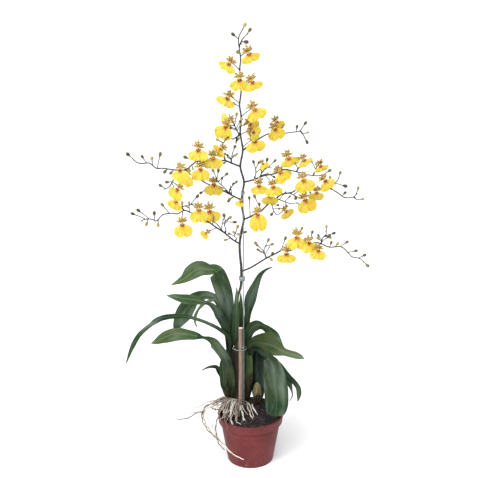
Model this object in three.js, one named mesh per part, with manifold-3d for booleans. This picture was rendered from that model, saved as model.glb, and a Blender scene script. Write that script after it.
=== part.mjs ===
// An oncidium orchid in flower, standing in its nursery pot.
// Millimetres, +Z up. The origin is the centre of the pot's underside.
import * as THREE from "three";
import { mergeVertices } from "three/addons/utils/BufferGeometryUtils.js";
import Module from "manifold-3d";

const wasm = await Module();
wasm.setup();

// ---------------------------------------------------------------- driving dimensions

// Clearance kept between two pieces that touch on the real plant.
const GAP = 0.3;
const STEM_GAP = 0.4;

// Nursery pot.
const POT_HEIGHT = 92;
const POT_RIM_RADIUS = 60;
const POT_SHOULDER_RADIUS = 54.8;
const POT_BASE_RADIUS = 42;
const RIM_BAND_HEIGHT = 16;
const RIM_LIP_OVERHANG = 1.8;
const POT_WALL = 1.6;
const POT_FLOOR = 2;
const POT_SEGMENTS = 28;
const DRAIN_HOLE_RADIUS = 3.2;
const DRAIN_HOLE_CIRCLE = 30;
const DRAIN_HOLE_COUNT = 5;
const DRAIN_HOLE_SIDES = 8;

// Potting mix.
const SOIL_LEVEL = 84;
const SOIL_RELIEF = 2.6;
const SOIL_RINGS = 3;
const SOIL_SEGMENTS = 16;

// Supports.
const STAKE_RADIUS = 4.3;
const WIRE_RADIUS = 0.9;

// Foliage.
const LEAF_THICKNESS = 1;
const LEAF_KEEL = 0.16;
const LEAF_EXTRA_STEPS = 1;
const LEAF_LEAST_WIDTH = 1.2;

// Flowers.
const LIP_LENGTH_RATIO = 0.62;
const PETAL_THICKNESS = 0.8;
const TEPAL_LENGTH_RATIO = 0.34;
const STAR_RISE = 0.1;
const COLUMN_RADIUS = 1.4;
const FLOWER_DEPTH = -9;
const FLOWER_NOD = 12;
const STALK_RADIUS = 0.65;
const STALK_SLANT = 0.5;
const BUD_RATIO = 0.34;
const STEM_STEP = 18;

// The plant is laid out as an onlooker sees it: a place is given across and up in the
// plane of the pot's axis, along the line of sight of an eye here, and then by its depth
// behind that plane.
const EYE_DISTANCE = 1632;
const EYE_HEIGHT = 978;

// ---------------------------------------------------------------- places and curves

/** The point seen at (x, z) of the plane y = 0, at the given depth behind that plane. */
function seen(x, z, depth) {
  const reach = (EYE_DISTANCE + depth) / EYE_DISTANCE;
  return new THREE.Vector3(x * reach, depth, EYE_HEIGHT + (z - EYE_HEIGHT) * reach);
}

/** Where a point shows in the plane y = 0: x across and y up. */
function shownAt(point) {
  const reach = (EYE_DISTANCE + point.y) / EYE_DISTANCE;
  return new THREE.Vector2(point.x / reach, EYE_HEIGHT + (point.z - EYE_HEIGHT) / reach);
}

/** A smooth curve through places given as [across, up, depth]. */
function route(places) {
  return new THREE.CatmullRomCurve3(places.map(([x, z, depth]) => seen(x, z, depth)));
}

/** The value a fraction of the way along a list of evenly spaced values. */
function along(values, fraction) {
  const place = fraction * (values.length - 1);
  const index = Math.min(Math.floor(place), values.length - 2);
  return THREE.MathUtils.lerp(values[index], values[index + 1], place - index);
}

/** A seeded stream of numbers between 0 and 1. */
function randomStream(seed) {
  let state = seed;
  return () => {
    state = (state * 1664525 + 1013904223) % 4294967296;
    return state / 4294967296;
  };
}

// ---------------------------------------------------------------- solids

/** The manifold solid of a closed three.js geometry. */
function toSolid(geometry) {
  const bare = geometry.clone();
  bare.deleteAttribute("normal");
  bare.deleteAttribute("uv");
  const merged = mergeVertices(bare, 1e-4);
  const corners = merged.index.array;
  const triangles = [];
  for (let i = 0; i < corners.length; i += 3) {
    const [a, b, c] = corners.slice(i, i + 3);
    if (a !== b && b !== c && c !== a) {
      triangles.push(a, b, c);
    }
  }
  return new wasm.Manifold(new wasm.Mesh({
    numProp: 3,
    vertProperties: new Float32Array(merged.attributes.position.array),
    triVerts: new Uint32Array(triangles),
  }));
}

/** The three.js geometry of a solid. */
function toGeometry(solid) {
  const mesh = solid.getMesh();
  const geometry = new THREE.BufferGeometry();
  geometry.setAttribute("position", new THREE.BufferAttribute(mesh.vertProperties, 3));
  geometry.setIndex(new THREE.BufferAttribute(mesh.triVerts, 1));
  return geometry;
}

/** The solids joined into one. */
function join(solids) {
  return solids.reduce((whole, solid) => whole.add(solid));
}

/** The largest body of a solid, without the scraps that a cut leaves. */
function mainBody(solid) {
  const bodies = solid.decompose();
  return bodies.reduce((largest, body) => (body.volume() > largest.volume() ? body : largest));
}

/** A solid with its neighbours cut out of it. */
function clearOf(solid, neighbours) {
  return mainBody(neighbours.reduce((rest, neighbour) => rest.subtract(neighbour), solid));
}

/** A closed round bar along a curve; its radius follows the evenly spaced values. */
function bar(curve, radii, sides, steps) {
  const geometry = new THREE.CylinderGeometry(1, 1, 1, sides, steps);
  const frames = curve.computeFrenetFrames(steps);
  const position = geometry.attributes.position;
  for (let i = 0; i < position.count; i += 1) {
    const fraction = position.getY(i) + 0.5;
    const step = Math.round(fraction * steps);
    const radius = along(radii, fraction);
    const point = curve.getPointAt(fraction);
    point.addScaledVector(frames.normals[step], position.getX(i) * radius);
    point.addScaledVector(frames.binormals[step], -position.getZ(i) * radius);
    position.setXYZ(i, point.x, point.y, point.z);
  }
  return toSolid(geometry);
}

/** An egg-shaped body between two points. */
function egg(start, end, radius, sides, rings) {
  const axis = end.clone().sub(start);
  const geometry = new THREE.SphereGeometry(1, sides, rings);
  geometry.scale(radius, axis.length() / 2, radius);
  const upright = new THREE.Vector3(0, 1, 0);
  geometry.applyQuaternion(new THREE.Quaternion().setFromUnitVectors(upright, axis.normalize()));
  const centre = start.clone().add(end).multiplyScalar(0.5);
  geometry.translate(centre.x, centre.y, centre.z);
  return toSolid(geometry);
}

/** A closed thin sheet over a grid: place(u, v) gives its middle point and its facing. */
function sheet(cellsAcross, cellsAlong, thickness, place) {
  const columns = cellsAcross + 1;
  const rows = cellsAlong + 1;
  const faceSize = columns * rows;
  const positions = new Float32Array(faceSize * 2 * 3);
  for (let j = 0; j < rows; j += 1) {
    for (let i = 0; i < columns; i += 1) {
      const { point, facing } = place((2 * i) / cellsAcross - 1, j / cellsAlong);
      const front = point.clone().addScaledVector(facing, thickness / 2);
      const back = point.clone().addScaledVector(facing, -thickness / 2);
      front.toArray(positions, (j * columns + i) * 3);
      back.toArray(positions, (faceSize + j * columns + i) * 3);
    }
  }
  const index = [];
  const quad = (a, b, c, d) => index.push(a, b, c, a, c, d);
  for (let j = 0; j < cellsAlong; j += 1) {
    for (let i = 0; i < cellsAcross; i += 1) {
      const [a, b] = [j * columns + i, j * columns + i + 1];
      const [c, d] = [b + columns, a + columns];
      quad(a, b, c, d);
      index.push(a + faceSize, c + faceSize, b + faceSize, a + faceSize, d + faceSize, c + faceSize);
    }
  }
  const wall = (a, b) => quad(a + faceSize, b + faceSize, b, a);
  for (let i = 0; i < cellsAcross; i += 1) {
    wall(i, i + 1);
    wall(cellsAlong * columns + i + 1, cellsAlong * columns + i);
  }
  for (let j = 0; j < cellsAlong; j += 1) {
    wall((j + 1) * columns, j * columns);
    wall(j * columns + cellsAcross, (j + 1) * columns + cellsAcross);
  }
  const geometry = new THREE.BufferGeometry();
  geometry.setAttribute("position", new THREE.BufferAttribute(positions, 3));
  geometry.setIndex(index);
  return toSolid(geometry);
}

/** A thin petal facing local -Y, from an outline of [x, z] points; bend(x, z) shifts it along Y. */
function petal(outline, bend, matrix) {
  const shape = new THREE.Shape(outline.map(([x, z]) => new THREE.Vector2(x, z)));
  const geometry = new THREE.ExtrudeGeometry(shape, { depth: PETAL_THICKNESS, bevelEnabled: false });
  geometry.rotateX(Math.PI / 2);
  const position = geometry.attributes.position;
  for (let i = 0; i < position.count; i += 1) {
    position.setY(i, position.getY(i) + PETAL_THICKNESS / 2 + bend(position.getX(i), position.getZ(i)));
  }
  geometry.applyMatrix4(matrix);
  return toSolid(geometry);
}

/** A straight stalk with a swelling, from [radius, distance] pairs between its two ends. */
function stalk(start, direction, profile, sides) {
  const points = profile.map(([radius, distance]) => new THREE.Vector2(radius, distance));
  const geometry = new THREE.LatheGeometry([new THREE.Vector2(0, 0), ...points], sides);
  const upright = new THREE.Vector3(0, 1, 0);
  geometry.applyQuaternion(new THREE.Quaternion().setFromUnitVectors(upright, direction));
  geometry.translate(start.x, start.y, start.z);
  return toSolid(geometry);
}

// ---------------------------------------------------------------- pot and potting mix

/** The outer radius of the pot's tapering wall at a height. */
function wallRadius(height) {
  const shoulderHeight = POT_HEIGHT - RIM_BAND_HEIGHT;
  return THREE.MathUtils.lerp(POT_BASE_RADIUS, POT_SHOULDER_RADIUS, height / shoulderHeight);
}

/** A closed body turned round the pot's axis from a profile of [radius, height] points. */
function turned(profile, segments) {
  const geometry = new THREE.LatheGeometry(profile.map(([r, z]) => new THREE.Vector2(r, z)), segments);
  geometry.rotateX(Math.PI / 2);
  return toSolid(geometry);
}

/** The pot: a tapering wall with a rim band, a rolled lip and drain holes in its floor. */
function makePot() {
  const shoulderHeight = POT_HEIGHT - RIM_BAND_HEIGHT;
  const bandRadius = POT_RIM_RADIUS - RIM_LIP_OVERHANG;
  const body = turned([
    [0, 0],
    [POT_BASE_RADIUS - 1.5, 0],
    [POT_BASE_RADIUS, 1.5],
    [POT_SHOULDER_RADIUS, shoulderHeight - 1],
    [bandRadius, shoulderHeight],
    [POT_RIM_RADIUS, POT_HEIGHT - 2.6],
    [POT_RIM_RADIUS, POT_HEIGHT - 0.6],
    [POT_RIM_RADIUS - 0.8, POT_HEIGHT],
    [bandRadius - POT_WALL + 0.6, POT_HEIGHT],
    [bandRadius - POT_WALL, shoulderHeight + 1],
    [POT_SHOULDER_RADIUS - POT_WALL, shoulderHeight - 2],
    [wallRadius(POT_FLOOR) - POT_WALL, POT_FLOOR],
    [0, POT_FLOOR],
  ], POT_SEGMENTS);
  const holes = [];
  for (let i = 0; i < DRAIN_HOLE_COUNT; i += 1) {
    const angle = (i / DRAIN_HOLE_COUNT) * Math.PI * 2;
    const drill = [DRAIN_HOLE_RADIUS, DRAIN_HOLE_RADIUS, 3 * POT_FLOOR, DRAIN_HOLE_SIDES];
    const hole = new THREE.CylinderGeometry(...drill);
    hole.rotateX(Math.PI / 2);
    hole.translate(DRAIN_HOLE_CIRCLE * Math.cos(angle), DRAIN_HOLE_CIRCLE * Math.sin(angle), 0);
    holes.push(toSolid(hole));
  }
  return clearOf(body, holes);
}

/** The potting mix: a plug that fills the pot, with a chunky top. */
function makeSoil() {
  const random = randomStream(11);
  const topRadius = wallRadius(SOIL_LEVEL - RIM_BAND_HEIGHT) - POT_WALL - GAP;
  const profile = [
    [0, POT_FLOOR + GAP],
    [wallRadius(POT_FLOOR) - POT_WALL - GAP, POT_FLOOR + GAP],
    [topRadius, SOIL_LEVEL - RIM_BAND_HEIGHT],
  ];
  for (let ring = SOIL_RINGS; ring >= 0; ring -= 1) {
    profile.push([(topRadius * ring) / SOIL_RINGS, SOIL_LEVEL]);
  }
  const points = profile.map(([r, z]) => new THREE.Vector2(r, z));
  const geometry = new THREE.LatheGeometry(points, SOIL_SEGMENTS);
  geometry.rotateX(Math.PI / 2);
  geometry.deleteAttribute("normal");
  geometry.deleteAttribute("uv");
  const merged = mergeVertices(geometry, 1e-4);
  const position = merged.attributes.position;
  for (let i = 0; i < position.count; i += 1) {
    const onTop = position.getZ(i) > SOIL_LEVEL - 1;
    if (onTop) {
      position.setZ(i, SOIL_LEVEL + (random() * 2 - 1) * SOIL_RELIEF);
    }
  }
  return toSolid(merged);
}

// ---------------------------------------------------------------- supports

// Places along the stake and the wire, as [across, up, depth].
const STAKE_PLACES = [[-17.5, 34, 14], [-17.5, 259, 14]];
const STAKE_TAPER = 0.4;
const WIRE_PLACES = [
  [-12, 52, 13], [-12, 150, 13], [-12, 250, 13], [-12.9, 335, 13.1], [-13, 356, 13], [-12.4, 385, 11.6],
  [-12.4, 450, 11.2], [-12.6, 500, 11.4], [-12.6, 516, 11.4],
];

// The rings that tie the stems to the stake and the wire.
const RINGS = {
  ring_tie: { place: [-19.4, 220, 19], halfWidth: 12.4, halfDepth: 10.6, thickness: 0.7, height: 1.4 },
  twist_tie: { place: [-14.9, 353, 14.4], halfWidth: 4.8, halfDepth: 3.9, thickness: 0.6, height: 9 },
  stem_clip: { place: [-13, 508, 13.4], halfWidth: 2.9, halfDepth: 4.2, thickness: 0.6, height: 4 },
};

/** The bamboo cane, swollen by the extra. */
function makeStake(extra = 0) {
  return bar(route(STAKE_PLACES), [STAKE_RADIUS + extra, STAKE_RADIUS - STAKE_TAPER + extra], 12, 1);
}

/** The thin support wire beside the flower stem, swollen by the extra. */
function makeWire(extra = 0) {
  return bar(route(WIRE_PLACES), [WIRE_RADIUS + extra, WIRE_RADIUS + extra], 5, 10);
}

/** A level oval ring round what it holds, drawn out into a band of the given height. */
function makeRing({ place, halfWidth, halfDepth, thickness, height }) {
  const centre = seen(...place);
  const radius = Math.max(halfWidth, halfDepth);
  const geometry = new THREE.TorusGeometry(radius, thickness, 4, 16);
  geometry.scale(halfWidth / radius, halfDepth / radius, height / (2 * thickness));
  geometry.translate(centre.x, centre.y, centre.z);
  return toSolid(geometry);
}

// ---------------------------------------------------------------- pseudobulbs, rhizome, roots

// Each pseudobulb: its foot and its top as [across, up, depth], and its radius.
const PSEUDOBULBS = {
  pseudobulb_centre: { foot: [-8, 114, 34], top: [-6, 232, 34], radius: 11.5 },
  pseudobulb_left: { foot: [-42, 122, 30], top: [-36, 226, 31], radius: 13 },
  pseudobulb_back: { foot: [14, 112, 42], top: [12, 232, 54], radius: 13.5 },
  pseudobulb_old: { foot: [12, 107, 28], top: [12, 152, 19], radius: 8.5 },
};

// The creeping rhizome that joins the pseudobulbs, and the roots that grow from it.
const RHIZOME_PLACES = [[-45, 125, 29], [-28, 117, 30], [-8, 113, 33], [6, 112, 34], [18, 113, 35]];
const RHIZOME_RADII = [3.4, 4.6, 4.8, 4.6, 3.8];
const ROOT_PLACES = [
  [[-40, 122, 28], [-52, 116, 14], [-60, 113, 6], [-75, 108, 2], [-83, 102, 0], [-87, 94, -2],
    [-100, 90, -4], [-108, 83, -6], [-121, 78, -8], [-137, 76, -8]],
  [[-38, 120, 28], [-50, 108, 12], [-66, 105, 0], [-79, 98, -6], [-80, 84, -8], [-73, 66, -10],
    [-62, 48, -14], [-52, 32, -22], [-40, 12, -33], [-26, 0, -42], [-12, -7, -48]],
  [[-36, 120, 28], [-46, 110, 4], [-52, 98, -20], [-58, 86, -30], [-64, 62, -32], [-62, 40, -30],
    [-56, 22, -28], [-47, 14, -30]],
  [[-36, 119, 28], [-40, 102, 0], [-43, 86, -30], [-47, 74, -44], [-42, 62, -50], [-44, 50, -50]],
  [[-32, 118, 29], [-34, 100, 6], [-36, 84, -14], [-34, 66, -34], [-34, 52, -34]],
  [[-26, 117, 30], [-27, 104, 10], [-26, 88, -6], [-25, 66, -26], [-25, 50, -28]],
  [[-20, 116, 31], [-18, 100, 4], [-13, 82, -10], [-13, 60, -24], [-13, 48, -24]],
  [[-8, 112, 33], [-4, 98, 12], [3, 80, -6], [12, 66, -14], [14, 52, -14]],
  [[2, 110, 32], [6, 98, 16], [14, 84, 4], [18, 66, 2]],
  [[-42, 122, 28], [-54, 121, 20], [-66, 111, 12], [-71, 101, 8], [-60, 97, 6], [-50, 98, 10], [-47, 80, 10]],
];
const ROOT_RADII = [1.6, 1.5, 1.4, 1.2, 0.8];

/** One pseudobulb, swollen by the extra. */
function makePseudobulb({ foot, top, radius }, extra = 0) {
  const start = seen(...foot);
  const end = seen(...top);
  start.z -= extra;
  end.z += extra;
  return egg(start, end, radius + extra, 8, 6);
}

/** The rhizome with all of its roots, swollen by the extra. */
function makeRhizome(extra = 0) {
  const swell = (radii) => radii.map((radius) => radius + extra);
  const rhizome = bar(route(RHIZOME_PLACES), swell(RHIZOME_RADII), 8, 8);
  const roots = ROOT_PLACES.map((places) => bar(route(places), swell(ROOT_RADII), 3, places.length));
  return join([rhizome, ...roots]);
}

// ---------------------------------------------------------------- leaves

// Each leaf: rows along its midrib, as [across, up, depth, width, roll in degrees].
const LEAVES = {
  leaf_tall_left: [
    [-38, 200, 30, 10, 0], [-36, 245, 27, 15, 0], [-37, 280, 24, 18, 0], [-41, 308, 19, 24, 0],
    [-48, 334, 13, 31, 0], [-54, 354, 9, 31, 0], [-58.5, 367, 6, 30, 0], [-60.5, 373, 1, 28, 70],
    [-66, 372.5, -5, 26, 140], [-75, 371, -11, 27, 180], [-87, 371, -18, 29, 180], [-102, 364, -25, 26, 180],
    [-117, 352, -31, 13, 180], [-138, 341, -38, 1.6, 180],
  ],
  leaf_tall_right: [
    [-7, 212, 34, 7, 0], [-8, 250, 29, 10, 0], [-5, 285, 30, 12, 0], [0, 316, 34, 21, 0],
    [9, 342, 41, 14, 0], [18, 361, 49, 8, 0], [28, 370, 57, 4, 0], [38, 374, 63, 1.6, 0],
  ],
  leaf_folded_front: [
    [-29, 225, 25.5, 8, 0], [-28.5, 255, 21, 10, 0], [-26, 290, 17, 9, 0], [-24.5, 318, 16.5, 6, 0],
    [-24, 336, 16.5, 1.4, 0],
  ],
  leaf_folded_back: [
    [-11, 223, 37, 4, 0], [-15, 248, 34, 6, 0], [-17, 280, 32, 6.5, 0], [-17, 310, 30, 5, 0],
    [-17, 326, 29, 1.4, 0],
  ],
  leaf_left_arching: [
    [-38, 200, 27, 7, 0], [-39, 236, 20, 10, 0], [-46, 264, 15, 14, 10], [-56, 284, 11, 15, 20],
    [-66, 299, 5, 12, 50], [-77, 306, -3, 8, 70], [-93, 312, -13, 15, 20], [-118, 316, -26, 17, 0],
    [-138, 320, -34, 8, 0], [-147, 321, -38, 1.6, 0],
  ],
  leaf_left_behind: [
    [-38, 200, 34, 6, 0], [-42, 250, 43, 8, 0], [-50, 290, 52, 10, 0], [-60, 314, 59, 13, 20],
    [-75, 321, 66, 16, 40], [-93, 317, 74, 22, 40], [-107, 303, 80, 29, 20], [-119, 285, 84, 30, 0],
    [-130, 264, 86, 16, 0], [-135, 250, 86, 1.6, 0],
  ],
  leaf_left_narrow: [
    [-40, 198, 33, 5, 0], [-43, 245, 36, 6, 0], [-51, 285, 42, 6, 20], [-60, 312, 48, 6, 50],
    [-75, 309, 54, 7, 60], [-88, 299, 58, 7, 60], [-97, 282, 60, 7, 50], [-98, 270, 61, 5, 40],
    [-95, 261, 61, 1.4, 40],
  ],
  leaf_left_broad: [
    [-38, 126, 28, 5, 0], [-33, 138, 13, 9, 0], [-35, 162, 8.5, 13, 0], [-44, 198, 4, 17, 0],
    [-60, 224, -4, 18, 0], [-72, 236, -12, 11, 50], [-83, 240, -19, 6, 60], [-97, 244, -28, 14, 10],
    [-114, 247, -35, 21, 0],
    [-132, 248, -44, 25, 0], [-152, 242, -52, 22, 0], [-168, 233, -58, 10, 0], [-177, 229, -60, 1.6, 0],
  ],
  leaf_left_long: [
    [-42, 196, 25, 5, 0], [-38, 238, 15, 7, 0], [-54, 256, 6, 7, 0], [-75, 268, -4, 6, 20],
    [-95, 276, -14, 6, 40], [-110, 280, -20, 7, 50], [-135, 282, -28, 9, 10], [-160, 277, -36, 10, 0],
    [-180, 262, -42, 8, 50], [-198, 245, -46, 8, 20], [-212, 220, -48, 7, 0], [-223, 190, -50, 1.6, 0],
  ],
  leaf_left_curl: [
    [-48, 150, 27, 5, 0], [-55, 172, 19, 9, 0], [-62, 183, 17, 7, 20], [-76, 182, 15, 4, 30],
    [-88, 176, 14, 1.4, 0],
  ],
  sheath_left_outer: [
    [-44, 134, 24, 5, 0], [-48, 146, 16, 12, 0], [-49, 168, 15, 14, 0], [-50, 190, 17, 11, 0],
    [-50, 204, 19, 1.6, 0],
  ],
  sheath_left_inner: [
    [-36, 136, 24, 6, 0], [-31, 150, 17, 11, 0], [-30, 172, 15.5, 14, 0], [-29.5, 198, 17, 12, 0],
    [-29, 216, 22, 1.6, 0],
  ],
  leaf_right_fold: [
    [-4, 214, 33, 6, 0], [-5, 238, 25, 12, 0], [1, 258, 21, 19, 0], [12, 266, 17, 22, 10],
    [24, 263, 15, 22, 40], [36, 254, 13, 22, 30], [47, 240, 11, 16, 20], [52, 226, 10, 1.8, 20],
  ],
  leaf_right_fan: [
    [-6, 208, 29, 6, 0], [0, 227, 19, 12, 0], [12, 232, 11, 28, 0], [26, 229, 4, 42, -18],
    [39, 225, -4, 44, -28], [51, 218, -13, 28, -30], [64, 212, -22, 14, 0], [80, 207, -32, 14, 0],
    [90, 203, -38, 9, 0], [96, 199, -42, 1.6, 0],
  ],
  leaf_right_broad: [
    [-5, 204, 28, 6, 0], [6, 219, 12, 9, 0], [20, 213, -9, 11, 0], [31, 203, -25, 14, 0],
    [37, 192, -31, 27, 0], [43, 168, -42, 38, 0], [46.5, 138, -50, 42, 0], [47.5, 112, -54, 41, 0],
    [46.5, 98, -56, 35, 0], [45.5, 88, -56, 20, 0], [45, 82, -56, 2, 0],
  ],
  leaf_right_low: [
    [14, 205, 41, 6, 0], [30, 203, 32, 10, -20], [48, 188, 26, 13, -30], [64, 168, 20, 12, -20],
    [78, 154, 14, 9, 0], [86, 142, 10, 9, 0], [88, 130, 8, 9, 0], [86, 114, 8, 1.6, 0],
  ],
  leaf_right_hidden: [
    [17, 202, 44, 6, 0], [34, 198, 47, 9, 0], [52, 182, 51, 11, 0], [64, 164, 53, 12, 0],
    [71, 148, 54, 9, 0], [75, 134, 54, 3, 0], [76, 125, 54, 2.2, 0], [71, 114, 54, 1.4, 0],
  ],
};

/** A blade with a shallow keel, from rows along its midrib. */
function makeLeaf(rows) {
  const midrib = route(rows);
  const forms = rows.map(([, , , width, roll]) => new THREE.Vector3(width, roll, 0));
  const form = new THREE.CatmullRomCurve3(forms);
  const steps = rows.length - 1 + LEAF_EXTRA_STEPS;
  return sheet(2, steps, LEAF_THICKNESS, (u, v) => {
    const tangent = midrib.getTangent(v);
    const { x: width, y: roll } = form.getPoint(v);
    const facing = new THREE.Vector3(0, -1, 0);
    facing.addScaledVector(tangent, -facing.dot(tangent)).normalize();
    facing.applyAxisAngle(tangent, THREE.MathUtils.degToRad(roll));
    const side = new THREE.Vector3().crossVectors(tangent, facing);
    const reach = (u * Math.max(width, LEAF_LEAST_WIDTH)) / 2;
    const point = midrib.getPoint(v);
    point.addScaledVector(side, reach);
    point.addScaledVector(facing, Math.abs(reach) * LEAF_KEEL);
    return { point, facing };
  });
}

// ---------------------------------------------------------------- flowers

// Half of the lip's outline, from its side to its notch, as fractions of its width and length.
const LIP_SIDE = [[0.4, -0.24], [0.5, -0.6], [0.27, -1]];
const LIP_NOTCH = [0, -0.88];
const LIP_WAVE = 0.9;
const LIP_BULGE = 1.6;
const LIP_WAIST = [3.4, -1];

// The angles that the five tepals point to, and how far they bend back for each millimetre.
const TEPAL_ANGLES = [6, 48, 90, 132, 174];
const TEPAL_ROOT_RADIUS = 2.6;
const TEPAL_BACKWARD = 0.16;

/** A flower's blades: the five pointed tepals and, from the origin down, the two-lobed lip. */
function makeBlades(width, lipRatio, matrix) {
  const length = width * lipRatio;
  const rise = width * STAR_RISE;
  const polar = (radius, degrees) => {
    const angle = THREE.MathUtils.degToRad(degrees);
    return [radius * Math.cos(angle), rise + radius * Math.sin(angle)];
  };
  const tepals = TEPAL_ANGLES.flatMap((angle, i) => {
    const tip = polar(width * TEPAL_LENGTH_RATIO, angle);
    const isLast = i === TEPAL_ANGLES.length - 1;
    return isLast ? [tip] : [tip, polar(TEPAL_ROOT_RADIUS, (angle + TEPAL_ANGLES[i + 1]) / 2)];
  });
  const side = (sign) => LIP_SIDE.map(([x, z]) => [sign * x * width, z * length]);
  const [waistX, waistZ] = LIP_WAIST;
  const outline = [
    ...tepals,
    [-waistX, waistZ],
    ...side(-1),
    [LIP_NOTCH[0], LIP_NOTCH[1] * length],
    ...side(1).reverse(),
    [waistX, waistZ],
  ];
  const bend = (x, z) => {
    const down = -z / length;
    const wave = LIP_WAVE * Math.cos((x / width) * 6 * Math.PI);
    const isLip = down > 0.1;
    return isLip ? down * (wave - LIP_BULGE * (1 - down)) : TEPAL_BACKWARD * Math.hypot(x, z - rise);
  };
  return petal(outline, bend, matrix);
}

// ---------------------------------------------------------------- flower stems

/** The place on a list of stems that shows nearest to (x, z). */
function nearestOnStems(stems, x, z) {
  const samples = 60;
  const target = new THREE.Vector2(x, z);
  let best = { distance: Infinity };
  for (const { curve } of stems) {
    for (let i = 0; i <= samples; i += 1) {
      const point = curve.getPointAt(i / samples);
      const distance = shownAt(point).distanceTo(target);
      if (distance < best.distance) {
        best = { distance, curve, point, fraction: i / samples };
      }
    }
  }
  return best;
}

/** The number of straight lengths that a stem's bar has. */
function barSteps(curve) {
  return Math.max(2, Math.round(curve.getLength() / STEM_STEP));
}

/** The place inside a stem's bar at a fraction of its curve, whose bends the bar cuts across. */
function insideBar(curve, fraction) {
  const steps = barSteps(curve);
  const step = Math.min(Math.floor(fraction * steps), steps - 1);
  const start = curve.getPointAt(step / steps);
  return start.lerp(curve.getPointAt((step + 1) / steps), fraction * steps - step);
}

/** The stems of a spray: each drifts in depth from where it leaves the trunk or an earlier one. */
function growStems(rows, trunk) {
  const stems = [];
  for (const { places, drift, radii } of rows) {
    const { curve: parent, fraction } = nearestOnStems([trunk, ...stems], ...places[0]);
    const start = insideBar(parent, fraction);
    const shown = shownAt(start);
    const last = places.length - 1;
    const rest = places.slice(1).map(([x, z], i) => [x, z, start.y + (drift * (i + 1)) / last]);
    const curve = route([[shown.x, shown.y, start.y], ...rest]);
    stems.push({ curve, radii, sides: stems.length > 0 ? 3 : 4 });
  }
  return stems;
}

/** Where a stalk to a place leaves the stems: a little nearer to their roots. */
function stalkRoot(stems, x, z) {
  const { curve, fraction, distance } = nearestOnStems(stems, x, z);
  const setBack = (STALK_SLANT * distance) / curve.getLength();
  return insideBar(curve, Math.max(fraction - setBack, 0));
}

/** The place of a flower or bud: in front of the stem that shows nearest to it. */
function placeBeside(stems, x, z, depthOffset) {
  return seen(x, z, nearestOnStems(stems, x, z).point.y + depthOffset);
}

/** A closed bud on its stalk. */
function makeBud(stems, [x, z, length = 8, depthOffset = 0]) {
  const centre = placeBeside(stems, x, z, depthOffset);
  const start = stalkRoot(stems, x, z);
  const reach = start.distanceTo(centre);
  const radius = length * BUD_RATIO;
  return stalk(start, centre.clone().sub(start).normalize(), [
    [STALK_RADIUS, 0],
    [STALK_RADIUS, Math.max(reach - length * 0.5, 0.4)],
    [radius, Math.max(reach - length * 0.1, 1)],
    [radius * 0.75, reach + length * 0.3],
    [0, reach + length * 0.5],
  ], 3);
}

/** An open flower on its stalk, whose end swells to the column; it leans and turns sideways. */
function makeFlower(stems, [x, z, width, lean, turn, depthOffset, lipRatio = LIP_LENGTH_RATIO]) {
  const place = placeBeside(stems, x, z, depthOffset ?? FLOWER_DEPTH);
  const nod = FLOWER_NOD * Math.sin(x * 0.7 + z);
  const angles = new THREE.Euler(...[-nod, -lean, turn].map(THREE.MathUtils.degToRad), "ZXY");
  const matrix = new THREE.Matrix4().makeRotationFromEuler(angles).setPosition(place);
  const start = stalkRoot(stems, x, z);
  const reach = start.distanceTo(place);
  const pedicel = stalk(start, place.clone().sub(start).normalize(), [
    [STALK_RADIUS, 0],
    [STALK_RADIUS, reach - COLUMN_RADIUS],
    [COLUMN_RADIUS, reach + 0.8],
    [0, reach + 2 * COLUMN_RADIUS],
  ], 3);
  return pedicel.add(makeBlades(width, lipRatio, matrix));
}

/** One stem, swollen by the extra. */
function makeStem({ curve, radii, sides }, extra = 0) {
  return bar(curve, radii.map((radius) => radius + extra), sides, barSteps(curve));
}

/** Stems with all of their flowers and buds, as one solid. */
function dress(stems, flowers, buds) {
  return join([
    ...stems.map((stem) => makeStem(stem)),
    ...flowers.map((flower) => makeFlower(stems, flower)),
    ...buds.map((bud) => makeBud(stems, bud)),
  ]);
}

// ---------------------------------------------------------------- the sprays

// Stems are [across, up] from root to tip and drift in depth towards their tips.
// Flowers are [across, up, width, lean, turn] with an optional depth from their stem and
// lip length in widths, and buds are [across, up] with an optional length and depth.

const MAIN_STEM_PLACES = [
  [-33, 138, 28], [-26, 160, 28], [-22.5, 190, 26], [-22, 217, 25], [-23, 260, 25], [-24, 300, 25],
  [-21.5, 322, 22], [-17.4, 336, 17], [-16.3, 347, 15], [-16.1, 358, 14.6], [-16.2, 374, 15],
  [-18.4, 400, 15], [-18.6, 417, 15], [-15.4, 440, 15], [-11.6, 461, 15], [-15, 490, 15],
  [-13.3, 510, 15], [-11, 527, 15], [-17, 554, 15], [-13, 582, 15], [-17, 612, 15], [-15.5, 640, 14],
  [-18, 658, 13], [-15.5, 680, 12], [-18, 711, 12], [-16, 735, 12], [-18, 753, 12], [-13, 766, 12],
];
const MAIN_STEM_RADII = [1.6, 2, 2, 2, 1.9, 1.8, 1.6, 1.4, 1.2, 1, 0.8];

// What the main stem carries itself, most of it above the last spray.
const CROWN = {
  stems: [
    { drift: -3, radii: [0.9, 0.6], places: [[-18, 752], [-19.5, 762], [-18, 771], [-12, 782]] },
    { drift: 3, radii: [0.8, 0.6], places: [[-16, 757], [-13, 765], [-4, 775]] },
  ],
  flowers: [
    [-3, 743, 33, 22, 5, -9, 0.5], [-34, 727, 31, -32, -12, -9, 0.5], [-18, 701, 32, 0, 0],
    [2, 697, 33, 20, 8, -9, 0.46], [-37, 671, 33, -27, -5, -9, 0.52], [6, 652, 35, 25, 5, -9, 0.57],
    [3, 614, 27, 55, 35, -14], [-2, 627, 29, 45, 25, 9], [6, 599, 34, 15, 5], [-17, 493, 16, -20, 0],
  ],
  buds: [
    [-9, 788, 8], [-1, 780, 8], [-28, 773, 8], [-7, 761, 9, -4], [-20, 745, 9, -5], [-28, 661, 7],
    [-9, 438, 7, 1], [-15, 635, 7, -4],
  ],
};

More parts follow.
